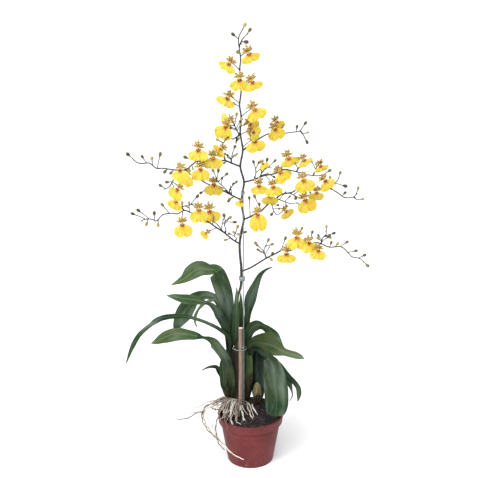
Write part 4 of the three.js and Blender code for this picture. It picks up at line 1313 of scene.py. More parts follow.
@dataclass
class BambooCane:
    """The sawn-off bamboo cane, with its joints and its hollow end."""

    places: Rows = ((-17.5, 34, 14), (-17.5, 259, 14))
    radius: float = 4.3
    taper: float = 0.4
    joints: tuple[float, ...] = (112.0, 203.0)
    joint_swell: float = 0.45
    joint_groove: float = 0.3
    # The heights of the rings round a joint, which its ridge and groove need.
    joint_steps: Sequence[float] = (-3.0, -1.4, -0.7, -0.25, 0, 0.25, 0.9, 2.0, 4.0)
    bore: float = 2.3
    bore_depth: float = 16.0
    columns: int = 40

    def build(self, palette: Palette) -> None:
        """Turns the cane and puts it in place.

        Args:
            palette: The materials.
        """
        foot, top = (seen(*place) for place in self.places)
        close = [joint + step for joint in self.joints for step in self.joint_steps]
        heights = np.unique(np.concatenate([np.linspace(foot[2], top[2], 30), close]))
        profile = []
        for z in heights:
            radius = self.radius - self.taper * (z - foot[2]) / (top[2] - foot[2])
            for joint in self.joints:
                away = z - joint
                ridge = self.joint_swell * math.exp(-((away - 0.9) / 1.3) ** 2)
                groove = self.joint_groove * math.exp(-((away + 0.2) / 0.3) ** 2)
                radius += ridge - groove
            profile.append((radius, z))
        end = profile[-1][0]
        skin = Draft()
        rings = lathe(profile, self.columns)
        cut = lathe([
            (end, top[2]), (end - 0.25, top[2] + 0.1), (self.bore + 0.2, top[2] - 0.1),
            (self.bore, top[2] - 0.6), (self.bore * 0.8, top[2] - self.bore_depth),
            (0.3, top[2] - self.bore_depth),
        ], self.columns)
        centre = [foot[0], foot[1], 0]
        numbers = skin.add_points(rings + centre, 0.5)
        skin.add_rounds(numbers, 0)
        skin.add_face(numbers[0][::-1], [(0, 0)] * self.columns, 1)
        inner = skin.add_points(cut[1:] + centre, 0.5)
        skin.add_rounds(np.concatenate([numbers[-1:], inner]), 1)
        skin.add_face(inner[-1], [(0, 0)] * self.columns, 1)
        mesh = skin.mesh("bamboo_stake", [palette.cane, palette.cane_cut], crease=35.0)
        place_piece(mesh, "bamboo_stake")


@dataclass
class Ties:
    """The support wire and the three things that tie the stems to it and to the cane."""

    wire_places: Rows = (
        (-12, 52, 13), (-12, 150, 13), (-12, 250, 13), (-12.9, 335, 13.1), (-13, 356, 13),
        (-12.4, 385, 11.6), (-12.4, 450, 11.2), (-12.6, 500, 11.4), (-12.6, 516, 11.4),
    )
    wire_radius: float = 0.9
    ring_place: Triple = (-19.4, 220, 19)
    ring_half: tuple[float, float] = (12.4, 10.6)
    ring_thickness: float = 0.7
    twist_place: Triple = (-14.9, 353, 14.4)
    twist_half: tuple[float, float] = (4.7, 3.8)
    twist_height: float = 8.0
    twist_turns: float = 4.25
    clip_place: Triple = (-13, 508, 13.4)
    clip_half: tuple[float, float] = (2.9, 4.2)
    clip_height: float = 4.0

    def build_wire(self, tubes: TubeTree, palette: Palette) -> None:
        """Draws the wire, with its end bent over.

        Args:
            tubes: The tree that strands are grown with.
            palette: The materials.
        """
        path = route(self.wire_places)
        shares = np.linspace(0, 1, 120)
        radii = np.full(120, self.wire_radius)
        radii[-2:] = (self.wire_radius * 0.9, self.wire_radius * 0.45)
        base = strand_mesh([Strand(path.even(shares), radii)])
        mesh = tubes.grow(base, Sides=12, Knob_Height=0.0, Material=palette.wire)
        place_piece(mesh, "support_wire")

    def twisted_ends(
        self, start: np.ndarray, direction: np.ndarray, length: float, radius: float,
    ) -> list[Strand]:
        """Twists two ends about one another.

        Args:
            start: Where the ends leave the loop.
            direction: The way they point.
            length: How long they are.
            radius: The radius of each.

        Returns:
            The two strands.
        """
        axis = unit(np.array(direction, float))
        side = unit(np.cross(axis, [0, 0, 1.0]))
        other = np.cross(axis, side)
        shares = np.linspace(0, 1, 28)
        ends = []
        for phase in (0.0, math.pi):
            angle = (phase + shares * math.tau * 2.2)[:, None]
            ring = (np.cos(angle) * side + np.sin(angle) * other) * radius * 0.95
            ends.append(Strand(start + axis * (shares * length)[:, None] + ring, np.full(28, radius)))
        return ends

    def build_ring(self, tubes: TubeTree, palette: Palette) -> None:
        """Lays the ring round the plant and the cane, with its ends twisted together behind.

        Args:
            tubes: The tree that strands are grown with.
            palette: The materials.
        """
        centre = seen(*self.ring_place)
        angles = np.linspace(0.5 * math.pi, 2.5 * math.pi, 97)
        across, deep = self.ring_half
        loop = np.stack([np.cos(angles) * across, np.sin(angles) * deep, 0.5 * np.sin(2 * angles)], 1)
        strands = [Strand(centre + loop, np.full(len(angles), self.ring_thickness))]
        start = centre + [0, deep - 0.2, 0]
        strands += self.twisted_ends(start, np.array([0.5, 1, -0.5]), 7.0, self.ring_thickness * 0.8)
        mesh = tubes.grow(strand_mesh(strands), Sides=10, Knob_Height=0.0, Material=palette.tie)
        place_piece(mesh, "ring_tie")

    def build_twist(self, tubes: TubeTree, palette: Palette) -> None:
        """Winds the twist tie round the stem and the wire.

        Args:
            tubes: The tree that strands are grown with.
            palette: The materials.
        """
        centre = seen(*self.twist_place)
        shares = np.linspace(0, 1, 140)
        angles = -0.5 * math.pi + shares * math.tau * self.twist_turns
        across, deep = self.twist_half
        rise = (shares - 0.5) * self.twist_height
        coil = np.stack([np.cos(angles) * across, np.sin(angles) * deep, rise], 1)
        strands = [Strand(centre + coil, np.full(len(shares), 0.95))]
        start = centre + [0, -deep + 0.4, 1.0]
        strands += self.twisted_ends(start, np.array([0.5, -1, 0.2]), 6.0, 0.6)
        mesh = tubes.grow(strand_mesh(strands), Sides=10, Knob_Height=0.00012, Material=palette.tie)
        place_piece(mesh, "twist_tie")

    def build_clip(self, palette: Palette) -> None:
        """Moulds the small clip: a rounded band with two finger tabs.

        Args:
            palette: The materials.
        """
        centre = seen(*self.clip_place)
        half = self.clip_height / 2
        section = [
            (-0.55, -half + 0.3), (-0.25, -half), (0.25, -half), (0.55, -half + 0.3), (0.65, 0.0),
            (0.55, half - 0.3), (0.25, half), (-0.25, half), (-0.55, half - 0.3), (-0.5, 0.0),
        ]
        angles = np.linspace(0, math.tau, 40, endpoint=False)
        wide, deep = self.clip_half
        band = np.array([
            [[math.cos(a) * (wide + out), math.sin(a) * (deep + out), up] for a in angles]
            for out, up in section
        ])
        draft = Draft()
        numbers = draft.add_points(band + centre, 0.5)
        draft.add_rounds(np.concatenate([numbers, numbers[:1]]), 0)
        for side in (-1, 1):
            steps = np.linspace(0, 1, 6)
            across = np.linspace(-1, 1, 5)
            grid = np.array([
                [[side * (1.2 + 1.5 * s), -deep - 0.2 - 2.2 * s, w * (half - 0.4 - 0.6 * s)] for w in across]
                for s in steps
            ])
            normal = unit(np.array([side * 2.2, 1.5, 0.0])) * 0.35
            pattern = np.zeros((*grid.shape[:2], 2))
            front, back = grid + normal + centre, grid - normal + centre
            if side > 0:
                front, back = front[:, ::-1], back[:, ::-1]
            draft.add_blade(front, back, pattern, (0, 0))
        mesh = draft.mesh("stem_clip", [palette.tie])
        tidy_normals(mesh)
        place_piece(mesh, "stem_clip")


def tidy_normals(mesh: Mesh) -> None:
    """Turns every closed part of a mesh so that its faces point outwards.

    Args:
        mesh: The mesh.
    """
    whole = bmesh.new()
    whole.from_mesh(mesh)
    bmesh.ops.recalc_face_normals(whole, faces=whole.faces)
    whole.to_mesh(mesh)
    whole.free()


# -------- rhizome, roots, pseudobulbs


@dataclass
class RootMass:
    """The creeping rhizome with the roots that grow from it and their thin side roots."""

    rhizome_places: Rows = ((-45, 125, 29), (-28, 117, 30), (-8, 113, 33), (6, 112, 34), (18, 113, 35))
    rhizome_radii: Sequence[float] = (3.8, 5.2, 5.6, 5.4, 4.4)
    root_places: Sequence[Rows] = (
        (
            (-40, 122, 28), (-52, 116, 14), (-60, 113, 6), (-75, 108, 2), (-83, 102, 0), (-87, 94, -2),
            (-100, 90, -4), (-108, 83, -6), (-121, 78, -8), (-137, 76, -8),
        ),
        (
            (-38, 120, 28), (-50, 108, 12), (-66, 105, 0), (-79, 98, -6), (-80, 84, -8), (-73, 66, -10),
            (-62, 48, -14), (-52, 32, -22), (-40, 12, -33), (-26, 0, -42), (-12, -7, -48),
        ),
        (
            (-36, 120, 28), (-46, 110, 4), (-52, 98, -20), (-58, 86, -30), (-64, 62, -32), (-62, 40, -30),
            (-56, 22, -28), (-47, 14, -30),
        ),
        ((-36, 119, 28), (-40, 102, 0), (-43, 86, -30), (-47, 74, -44), (-42, 62, -50), (-44, 50, -50)),
        ((-32, 118, 29), (-34, 100, 6), (-36, 84, -14), (-34, 66, -34), (-34, 52, -34)),
        ((-26, 117, 30), (-27, 104, 10), (-26, 88, -6), (-25, 66, -26), (-25, 50, -28)),
        ((-20, 116, 31), (-18, 100, 4), (-13, 82, -10), (-13, 60, -24), (-13, 48, -24)),
        ((-8, 112, 33), (-4, 98, 12), (3, 80, -6), (12, 66, -14), (14, 52, -14)),
        ((2, 110, 32), (6, 98, 16), (14, 84, 4), (18, 66, 2)),
        (
            (-42, 122, 28), (-54, 121, 20), (-66, 111, 12), (-71, 101, 8), (-60, 97, 6), (-50, 98, 10),
            (-47, 80, 10),
        ),
        (
            (-38, 119, 28), (-54, 108, 10), (-72, 103, -2), (-84, 92, -6), (-85, 76, -8), (-77, 58, -10),
            (-67, 44, -14), (-60, 32, -20),
        ),
        (
            (-40, 120, 28), (-58, 111, 8), (-76, 100, -2), (-89, 86, -6), (-84, 64, -8), (-72, 47, -10),
            (-57, 33, -20), (-44, 20, -29),
        ),
        ((-39, 120, 28), (-58, 117, 12), (-78, 112, 2), (-96, 102, -2), (-106, 98, -4), (-112, 90, -6)),
    )
    root_radii: Sequence[float] = (1.45, 1.3, 1.2, 1.05, 0.75)
    step: float = 1.5
    wander: float = 0.55
    scar_spacing: float = 5.5
    side_roots: int = 5
    side_length: tuple[float, float] = (12.0, 32.0)
    fine_roots: int = 28
    seed: int = 5

    def root(self, places: Rows, random: np.random.Generator) -> Strand:
        """Makes one root that wanders a little on its way.

        Args:
            places: Its way, as across, up and depth.
            random: What chance is drawn from.

        Returns:
            The root.
        """
        path = route(places)
        count = max(8, int(path.length / self.step))
        shares = np.linspace(0, 1, count)
        points = path.even(shares)
        lengths = shares * path.length
        for axis in range(3):
            for size, share in ((17.0, 1.0), (6.0, 0.45)):
                points[:, axis] += self.wander * share * np.sin(
                    lengths / size * math.tau + random.uniform(0, 6),
                )
        radii = spaced(self.root_radii, shares)
        radii *= 1 + 0.1 * np.sin(lengths / 3.1 + random.uniform(0, 6))
        radii[-3:] *= (0.9, 0.7, 0.35)
        return Strand(points, radii, random.uniform(0, 1))

    def side_root(self, parent: Strand, random: np.random.Generator) -> Strand:
        """Makes a thin root that leaves another and droops.

        Args:
            parent: The root that it leaves.
            random: What chance is drawn from.

        Returns:
            The root.
        """
        start = int(random.uniform(0.25, 0.75) * len(parent.points))
        along = unit(parent.points[start + 1] - parent.points[start])
        aside = unit(np.cross(along, random.normal(size=3)))
        length = random.uniform(*self.side_length)
        shares = np.linspace(0, 1, 14)[:, None]
        points = parent.points[start] + (along * 0.8 + aside * 0.6) * length * shares
        points[:, 2] -= length * 0.35 * shares[:, 0] ** 2
        points += 0.5 * np.sin(shares * 9 + random.uniform(0, 6, 3))
        points -= points[0] - parent.points[start]
        radii = np.linspace(0.55, 0.28, 14)
        return Strand(points, radii, random.uniform(0, 1))

    def fine_root(self, share: float, random: np.random.Generator) -> Strand:
        """Makes a thin root of the fan that spreads from the rhizome over the bark.

        Args:
            share: Where in the fan it lies, from its left end to its right end.
            random: What its course is drawn from.

        Returns:
            The root.
        """
        start = (-42 + 30 * share, 122 - 6 * share, 27)
        end_x, end_z = -84 + 88 * share + random.uniform(-5, 5), 92 - 6 * share + random.uniform(-7, 9)
        depth = -12 - 22 * (1 - abs(2 * share - 1)) + random.uniform(-6, 6)
        middle_x, middle_z = (
            start[0] + end_x
        ) / 2 + random.uniform(-5, 5), (start[1] + end_z) / 2 + random.uniform(3, 9)
        path = route((start, (middle_x, middle_z, depth / 2 + 8), (end_x, end_z, depth)))
        shares = np.linspace(0, 1, 24)
        points = path.even(shares)
        points += 0.8 * np.sin(
            shares[:, None] * random.uniform(7, 14) + random.uniform(0, 6, 3),
        ) * shares[:, None]
        return Strand(points, np.linspace(0.66, 0.34, 24), random.uniform(0, 1))

    def build(self, tubes: TubeTree, palette: Palette) -> None:
        """Grows the rhizome and its roots and puts them in place as one piece.

        Args:
            tubes: The tree that strands are grown with.
            palette: The materials.
        """
        random = np.random.default_rng(self.seed)
        roots = [self.root(places, random) for places in self.root_places]
        thin = [self.side_root(parent, random) for parent in roots[:7] for _ in range(self.side_roots)]
        thin += [self.fine_root(number / self.fine_roots, random) for number in range(self.fine_roots)]
        velamen = tubes.grow(
            strand_mesh(roots + thin), Sides=9, Knob_Height=0.0005, Knob_Scale=260.0,
            Material=palette.velamen,
        )
        path = route(self.rhizome_places)
        shares = np.linspace(0, 1, int(path.length / 0.8))
        lengths = shares * path.length
        radii = spaced(self.rhizome_radii, shares)
        radii *= 1 + 0.1 * (lengths / self.scar_spacing % 1.0) - 0.05
        base = strand_mesh([Strand(path.even(shares), radii)])
        rhizome = tubes.grow(base, Sides=20, Knob_Height=0.0006, Knob_Scale=180.0, Material=palette.husk)
        mesh = join_meshes("roots", [velamen, rhizome], [palette.velamen, palette.husk])
        place_piece(mesh, "rhizome_with_roots")


class BulbSkin(Enum):
    """The kind of a pseudobulb's skin (fresh, with painted shade, or withered), by the name of its material
    in the palette.
    """

    FRESH = "bulb"
    # A darker copy of the fresh skin, with the shade inside the plant painted in.
    SHADED = "shaded_bulb"
    WITHERED = "old_bulb"


@dataclass
class Pseudobulb:
    """One swollen, softly ribbed stem with the papery sheaths that still clasp its foot."""

    node: str
    foot: Triple
    top: Triple
    radius: float
    husks: Sequence[Triple] = ()
    state: BulbSkin = BulbSkin.FRESH
    rings: int = 34
    columns: int = 36
    ribs: int = 6
    rib_depth: float = 0.035
    withered_depth: float = 0.11

    def surface(self, share: np.ndarray, angle: np.ndarray) -> np.ndarray:
        """Finds points on the skin.

        Args:
            share: Shares of the way from the foot to the top.
            angle: Angles round the axis, in radians, shaped as the shares.

        Returns:
            The points, with x, y and z along the last axis.
        """
        start, end = seen(*self.foot), seen(*self.top)
        centre = start + (end - start) * share[..., None]
        depth = self.withered_depth if self.state is BulbSkin.WITHERED else self.rib_depth
        ribbed = 1 - depth * (
            0.5 + 0.5 * np.cos(self.ribs * angle)
        ) * np.sin(math.pi * np.clip(share, 0, 1))
        round_off = np.sqrt(np.clip(1 - (2 * share - 1) ** 2, 0.0, 1))
        reach = self.radius * round_off * ribbed
        offset = np.stack([np.cos(angle) * reach, np.sin(angle) * reach, np.zeros_like(reach)], -1)
        return centre + offset

    def skin(self) -> Draft:
        """Builds the bulb's own closed skin, with the leaf scar at its top.

        Returns:
            The skin.
        """
        spread = (1 - np.cos(np.linspace(0.06, math.pi - 0.06, self.rings))) / 2
        angles = np.linspace(0, math.tau, self.columns, endpoint=False)
        share, angle = np.meshgrid(spread, angles, indexing="ij")
        draft = Draft()
        draft.add_tube(self.surface(share, angle), 0)
        return draft

    def add_husk(self, draft: Draft, middle: float, half_width: float, height: float, seed: int) -> None:
        """Adds a torn papery sheath.

        Args:
            draft: The mesh that it is added to.
            middle: The angle of its middle, in degrees.
            half_width: Half the angle that it covers, in degrees.
            height: The share of the bulb that it covers.
            seed: What its torn edge starts from.
        """
        random = np.random.default_rng(seed)
        columns, rows = 17, 12
        across = np.linspace(-1, 1, columns)
        tear = height * (1 - 0.5 * np.abs(across) ** 1.6) * (1 + random.uniform(-0.09, 0.09, columns))
        share = np.linspace(0.03, 1, rows)[:, None] * tear[None, :]
        angle = np.radians(middle + across * half_width)[None, :] * np.ones((rows, 1))
        lift = 0.35 + 1.0 * (share / height) ** 3 + 0.15 * np.sin(across * 11)[None, :]
        pattern = pattern_at(across[None, :] * 8, share * 60)
        front = self.surface(share, angle)
        outward = unit(np.stack([np.cos(angle), np.sin(angle), np.zeros_like(angle)], -1))
        fore, aft = (front + outward * off[..., None] for off in (lift + 0.3, lift))
        draft.add_blade(fore, aft, pattern, (1, 1))

    def build(self, palette: Palette) -> None:
        """Builds the bulb with its sheaths and puts it in place.

        Args:
            palette: The materials.
        """
        draft = self.skin()
        for number, (middle, half_width, height) in enumerate(self.husks):
            self.add_husk(draft, middle, half_width, height, seed=number + 3)
        mesh = draft.mesh(self.node, [getattr(palette, self.state.value), palette.husk])
        place_piece(mesh, self.node)


PSEUDOBULBS = (
    Pseudobulb(
        "pseudobulb_centre", (-8, 114, 34), (-6, 232, 34), 12.2, husks=((-50, 80, 0.52), (60, 70, 0.5)),
    ),
    Pseudobulb(
        "pseudobulb_left", (-42, 122, 30), (-36, 226, 31), 14.2,
        husks=((-70, 60, 0.5), (110, 70, 0.45), (-12, 58, 0.86)), state=BulbSkin.SHADED,
    ),
    Pseudobulb(
        "pseudobulb_back", (14, 112, 42), (12, 232, 54), 15.0, husks=((-60, 66, 0.3), (120, 60, 0.5)),
        state=BulbSkin.SHADED,
    ),
    Pseudobulb(
        "pseudobulb_old", (12, 107, 28), (12, 152, 19), 8.5, husks=((-80, 70, 0.6),),
        state=BulbSkin.WITHERED,
    ),
)


# -------- leaves


class Face(Enum):
    """The face of a blade that looks at the onlooker where it leaves the plant."""

    UPPER = "upper"
    UNDER = "under"


@dataclass
class Leaf:
    """A strap leaf or a sheath, from rows of across, up, depth, width and roll in degrees."""

    node: str
    rows: Rows
    shows: Face = Face.UPPER
    thickness: float = 0.9
    edge_thickness: float = 0.5
    keel: float = 0.24
    least_width: float = 1.0
    ruffle: float = 0.35
    ruffle_mm: float = 23.0
    cells_across: int = 14
    cells_per_span: int = 6
    ripeness: float = 0.18
    papery: bool = False
    flips_at: float = 1.0

    def build(self, palette: Palette) -> None:
        """Bends the blade along its midrib and puts it in place.

        Args:
            palette: The materials.
        """
        midrib = route(self.rows)
        form = Route([(row[3], row[4], 0.0) for row in self.rows])
        shares = np.linspace(0, 1, (len(self.rows) - 1) * self.cells_per_span + 1)
        points = midrib.at(shares)
        tangents = midrib.tangents(shares)
        width, roll = form.at(shares)[:, :2].T
        facing = np.array([0.0, -1.0, 0.0]) + tangents * tangents[:, 1:2]
        facing = turn_about(unit(facing), tangents, roll)
        side = np.cross(tangents, facing)
        along = run_of(points)
        u = np.linspace(-1, 1, self.cells_across + 1)
        reach = np.outer(np.maximum(width, self.least_width) / 2, u)
        phase = len(self.node)
        lift = np.sqrt((reach * self.keel) ** 2 + 0.09) - 0.3
        lift += self.ruffle * u**2 * np.sin(along[:, None] / self.ruffle_mm * math.tau + phase + u * 1.3)
        middle = points[:, None] + side[:, None] * reach[..., None] + facing[:, None] * lift[..., None]
        half = np.interp(np.abs(u), [0, 0.75, 1], [self.thickness, self.thickness, self.edge_thickness]) / 2
        thick = facing[:, None] * half[None, :, None]
        draft = Draft()
        faces = (0, 1) if self.shows is Face.UPPER else (1, 0)
        draft.add_blade(
            middle + thick, middle - thick, pattern_at(reach, along[:, None]), faces, self.ripeness,
        )
        cells = (len(shares) - 1) * self.cells_across
        for face in range(int(self.flips_at * (len(shares) - 1)) * self.cells_across, cells):
            draft.finishes[face], draft.finishes[face + cells] = faces[1], faces[0]
        skins = [palette.husk, palette.husk] if self.papery else [palette.leaf, palette.leaf_under]
        place_piece(draft.mesh(self.node, skins, crease=70.0), self.node)


LEAVES = (
    Leaf("leaf_tall_left", (
        (-38, 200, 30, 10, 0), (-36, 245, 27, 15, 0), (-37, 280, 24, 18, 0), (-41, 308, 19, 24, 0),
        (-48, 334, 13, 31, 0), (-54, 354, 9, 31, -4), (-58.5, 364, 8, 28, 4), (-63, 368.5, 5, 21, 44),
        (-71, 369, 0, 20, 52), (-87, 371, -13, 28, 46), (-102, 364, -23, 27, 30), (-117, 352, -31, 14, 10),
        (-138, 341, -38, 1.6, 0),
    ), ripeness=0.25, flips_at=0.52),
    Leaf("leaf_tall_right", (
        (-7, 212, 34, 7, 0), (-8, 250, 29, 10, 0), (-5, 285, 30, 12, 0), (0, 316, 34, 21, 0),
        (9, 342, 41, 14, 0), (18, 361, 49, 8, 0), (28, 370, 57, 4, 0), (38, 374, 63, 1.6, 0),
    )),
    Leaf("leaf_folded_front", (
        (-28, 225, 25.5, 10, 0), (-26.8, 255, 21, 13.5, 0), (-25, 290, 18, 11, 0), (-24.2, 318, 16.5, 7, 0),
        (-24, 336, 16.5, 1.4, 0),
    ), Face.UNDER),
    Leaf("leaf_folded_back", (
        (-11, 223, 37, 6, 0), (-15, 248, 34, 9, 0), (-17, 280, 32, 9, 0), (-17, 310, 30, 6, 0),
        (-17, 326, 29, 1.4, 0),
    ), Face.UNDER),
    Leaf("leaf_left_arching", (
        (-38, 200, 27, 7, 0), (-39, 236, 20, 10, 0), (-46, 264, 15, 14, 10), (-56, 284, 11, 15, 20),
        (-66, 299, 5, 12, 50), (-77, 306, -3, 8, 70), (-93, 312, -13, 15, 20), (-118, 316, -26, 17, 0),
        (-138, 320, -34, 8, 0), (-147, 321, -38, 1.6, 0),
    ), flips_at=0.58),
    Leaf("leaf_left_behind", (
        (-38, 200, 34, 6, 0), (-42, 250, 43, 8, 0), (-50, 290, 52, 10, 0), (-60, 314, 59, 13, 20),
        (-75, 321, 66, 16, 40), (-93, 317, 74, 22, 40), (-107, 303, 80, 29, 20), (-119, 285, 84, 30, 0),
        (-130, 264, 86, 16, 0), (-135, 250, 86, 1.6, 0),
    )),
    Leaf("leaf_left_narrow", (
        (-40, 198, 33, 5, 0), (-43, 245, 36, 6, 0), (-51, 285, 42, 6, 20), (-60, 312, 48, 6, 50),
        (-75, 309, 54, 7, 60), (-88, 299, 58, 7, 60), (-97, 282, 60, 7, 50), (-98, 270, 61, 5, 40),
        (-95, 261, 61, 1.4, 40),
    ), Face.UNDER),
    Leaf("leaf_left_broad", (
        (-38, 126, 28, 5, 0), (-33, 138, 13, 9, 0), (-35, 162, 8.5, 13, 0), (-44, 198, 4, 17, 0),
        (-60, 224, -4, 18, 0), (-72, 236, -12, 11, 50), (-83, 240, -19, 6, 60), (-97, 244, -28, 14, 10),
        (-114, 247, -35, 21, 0), (-132, 248, -44, 25, 0), (-152, 242, -52, 22, 0), (-168, 233, -58, 10, 0),
        (-177, 229, -60, 1.6, 0),
    ), ripeness=0.4, flips_at=0.57),
    Leaf("leaf_left_long", (
        (-42, 196, 25, 5, 0), (-38, 238, 15, 7, 0), (-54, 256, 6, 7, 0), (-75, 268, -4, 6, 20),
        (-95, 276, -14, 6, 40), (-110, 280, -20, 7, 50), (-135, 282, -28, 9, 10), (-160, 277, -36, 10, 0),
        (-180, 262, -42, 8, 50), (-198, 245, -46, 8, 20), (-212, 220, -48, 7, 0), (-223, 190, -50, 1.6, 0),
    )),
    Leaf("leaf_left_curl", (
        (-48, 150, 27, 5, 0), (-55, 172, 19, 9, 0), (-62, 183, 17, 7, 20), (-76, 182, 15, 4, 30),
        (-88, 176, 14, 1.4, 0),
    )),
    Leaf("sheath_left_outer", (
        (-44, 134, 24, 5, 0), (-48, 146, 16, 12, 0), (-49, 168, 15, 14, 0), (-50, 190, 17, 11, 0),
        (-50, 204, 19, 1.6, 0),
    ), Face.UNDER),
    Leaf("sheath_left_inner", (
        (-29.5, 112, 27, 12, 0), (-28, 134, 21, 15, 0), (-28, 168, 18.5, 16, 0), (-28, 196, 19, 15, 0),
        (-27, 216, 22, 10, 0), (-27, 230, 24, 1.6, 0),
    ), Face.UNDER, papery=True),
    Leaf("leaf_right_fold", (
        (-4, 214, 33, 6, 0), (-5, 238, 25, 12, 0), (1, 258, 21, 19, 0), (12, 266, 17, 22, 10),
        (24, 263, 15, 22, 40), (36, 254, 13, 22, 30), (47, 240, 11, 16, 20), (52, 226, 10, 1.8, 20),
    ), Face.UNDER),
    Leaf("leaf_right_fan", (
        (-6, 208, 29, 6, 0), (0, 227, 19, 12, 0), (12, 232, 11, 28, 0), (26, 229, 4, 42, -18),
        (39, 225, -4, 44, -28), (51, 218, -13, 28, -30), (64, 212, -22, 14, 0), (80, 207, -32, 14, 0),
        (90, 203, -38, 9, 0), (96, 199, -42, 1.6, 0),
    ), Face.UNDER, ripeness=0.7),
    Leaf("leaf_right_broad", (
        (-5, 204, 28, 6, 0), (6, 219, 12, 9, 0), (20, 213, -9, 11, 0), (31, 203, -25, 14, 0),
        (37, 192, -31, 27, 0), (43, 168, -42, 38, 0), (46.5, 138, -50, 42, 0), (47.5, 112, -54, 41, 0),
        (46.5, 98, -56, 37, 0), (45.6, 90, -56, 30, 0), (45, 85.5, -56, 17, 0), (45, 83.5, -56, 7, 0),
    )),
    Leaf("leaf_right_low", (
        (14, 205, 41, 6, 0), (30, 203, 32, 10, -20), (48, 188, 26, 13, -30), (64, 168, 20, 12, -20),
        (78, 154, 14, 9, 0), (86, 142, 10, 9, 0), (88, 130, 8, 9, 0), (86, 114, 8, 1.6, 0),
    )),
    Leaf("leaf_right_hidden", (
        (17, 202, 44, 6, 0), (34, 198, 47, 9, 0), (52, 182, 51, 11, 0), (64, 164, 53, 12, 0),
        (71, 148, 54, 9, 0), (75, 134, 54, 3, 0), (76, 125, 54, 2.2, 0), (71, 114, 54, 1.4, 0),
    )),
)


# -------- flowers


class Tissue(IntEnum):
    """What a part of a spray is made of, by its material's number on the piece."""

    STEM = 0
    BUD = 1
    LIP = 2
    TEPAL = 3
    CALLUS = 4
    COLUMN = 5
    HUSK = 6


def rotation(degrees: float, axis: str) -> Matrix:
    """The matrix that turns points about one of the axes "X", "Y" and "Z"."""
    return Matrix.Rotation(math.radians(degrees), 3, axis)


def absorb(draft: Draft, part: Draft, turn: np.ndarray, shift: np.ndarray) -> None:
    """Adds one draft to another.

    Args:
        draft: The draft that grows.
        part: The draft that is added to it.
        turn: The rotation matrix that turns the part first.
        shift: Where the part's origin goes.
    """
    first = draft.count
    draft.points.extend(points @ turn.T + shift for points in part.points)
    draft.tones.extend(part.tones)
    draft.faces.extend(tuple(n + first for n in face) for face in part.faces)
    draft.finishes.extend(part.finishes)
    draft.corners.extend(part.corners)
    draft.count += part.count


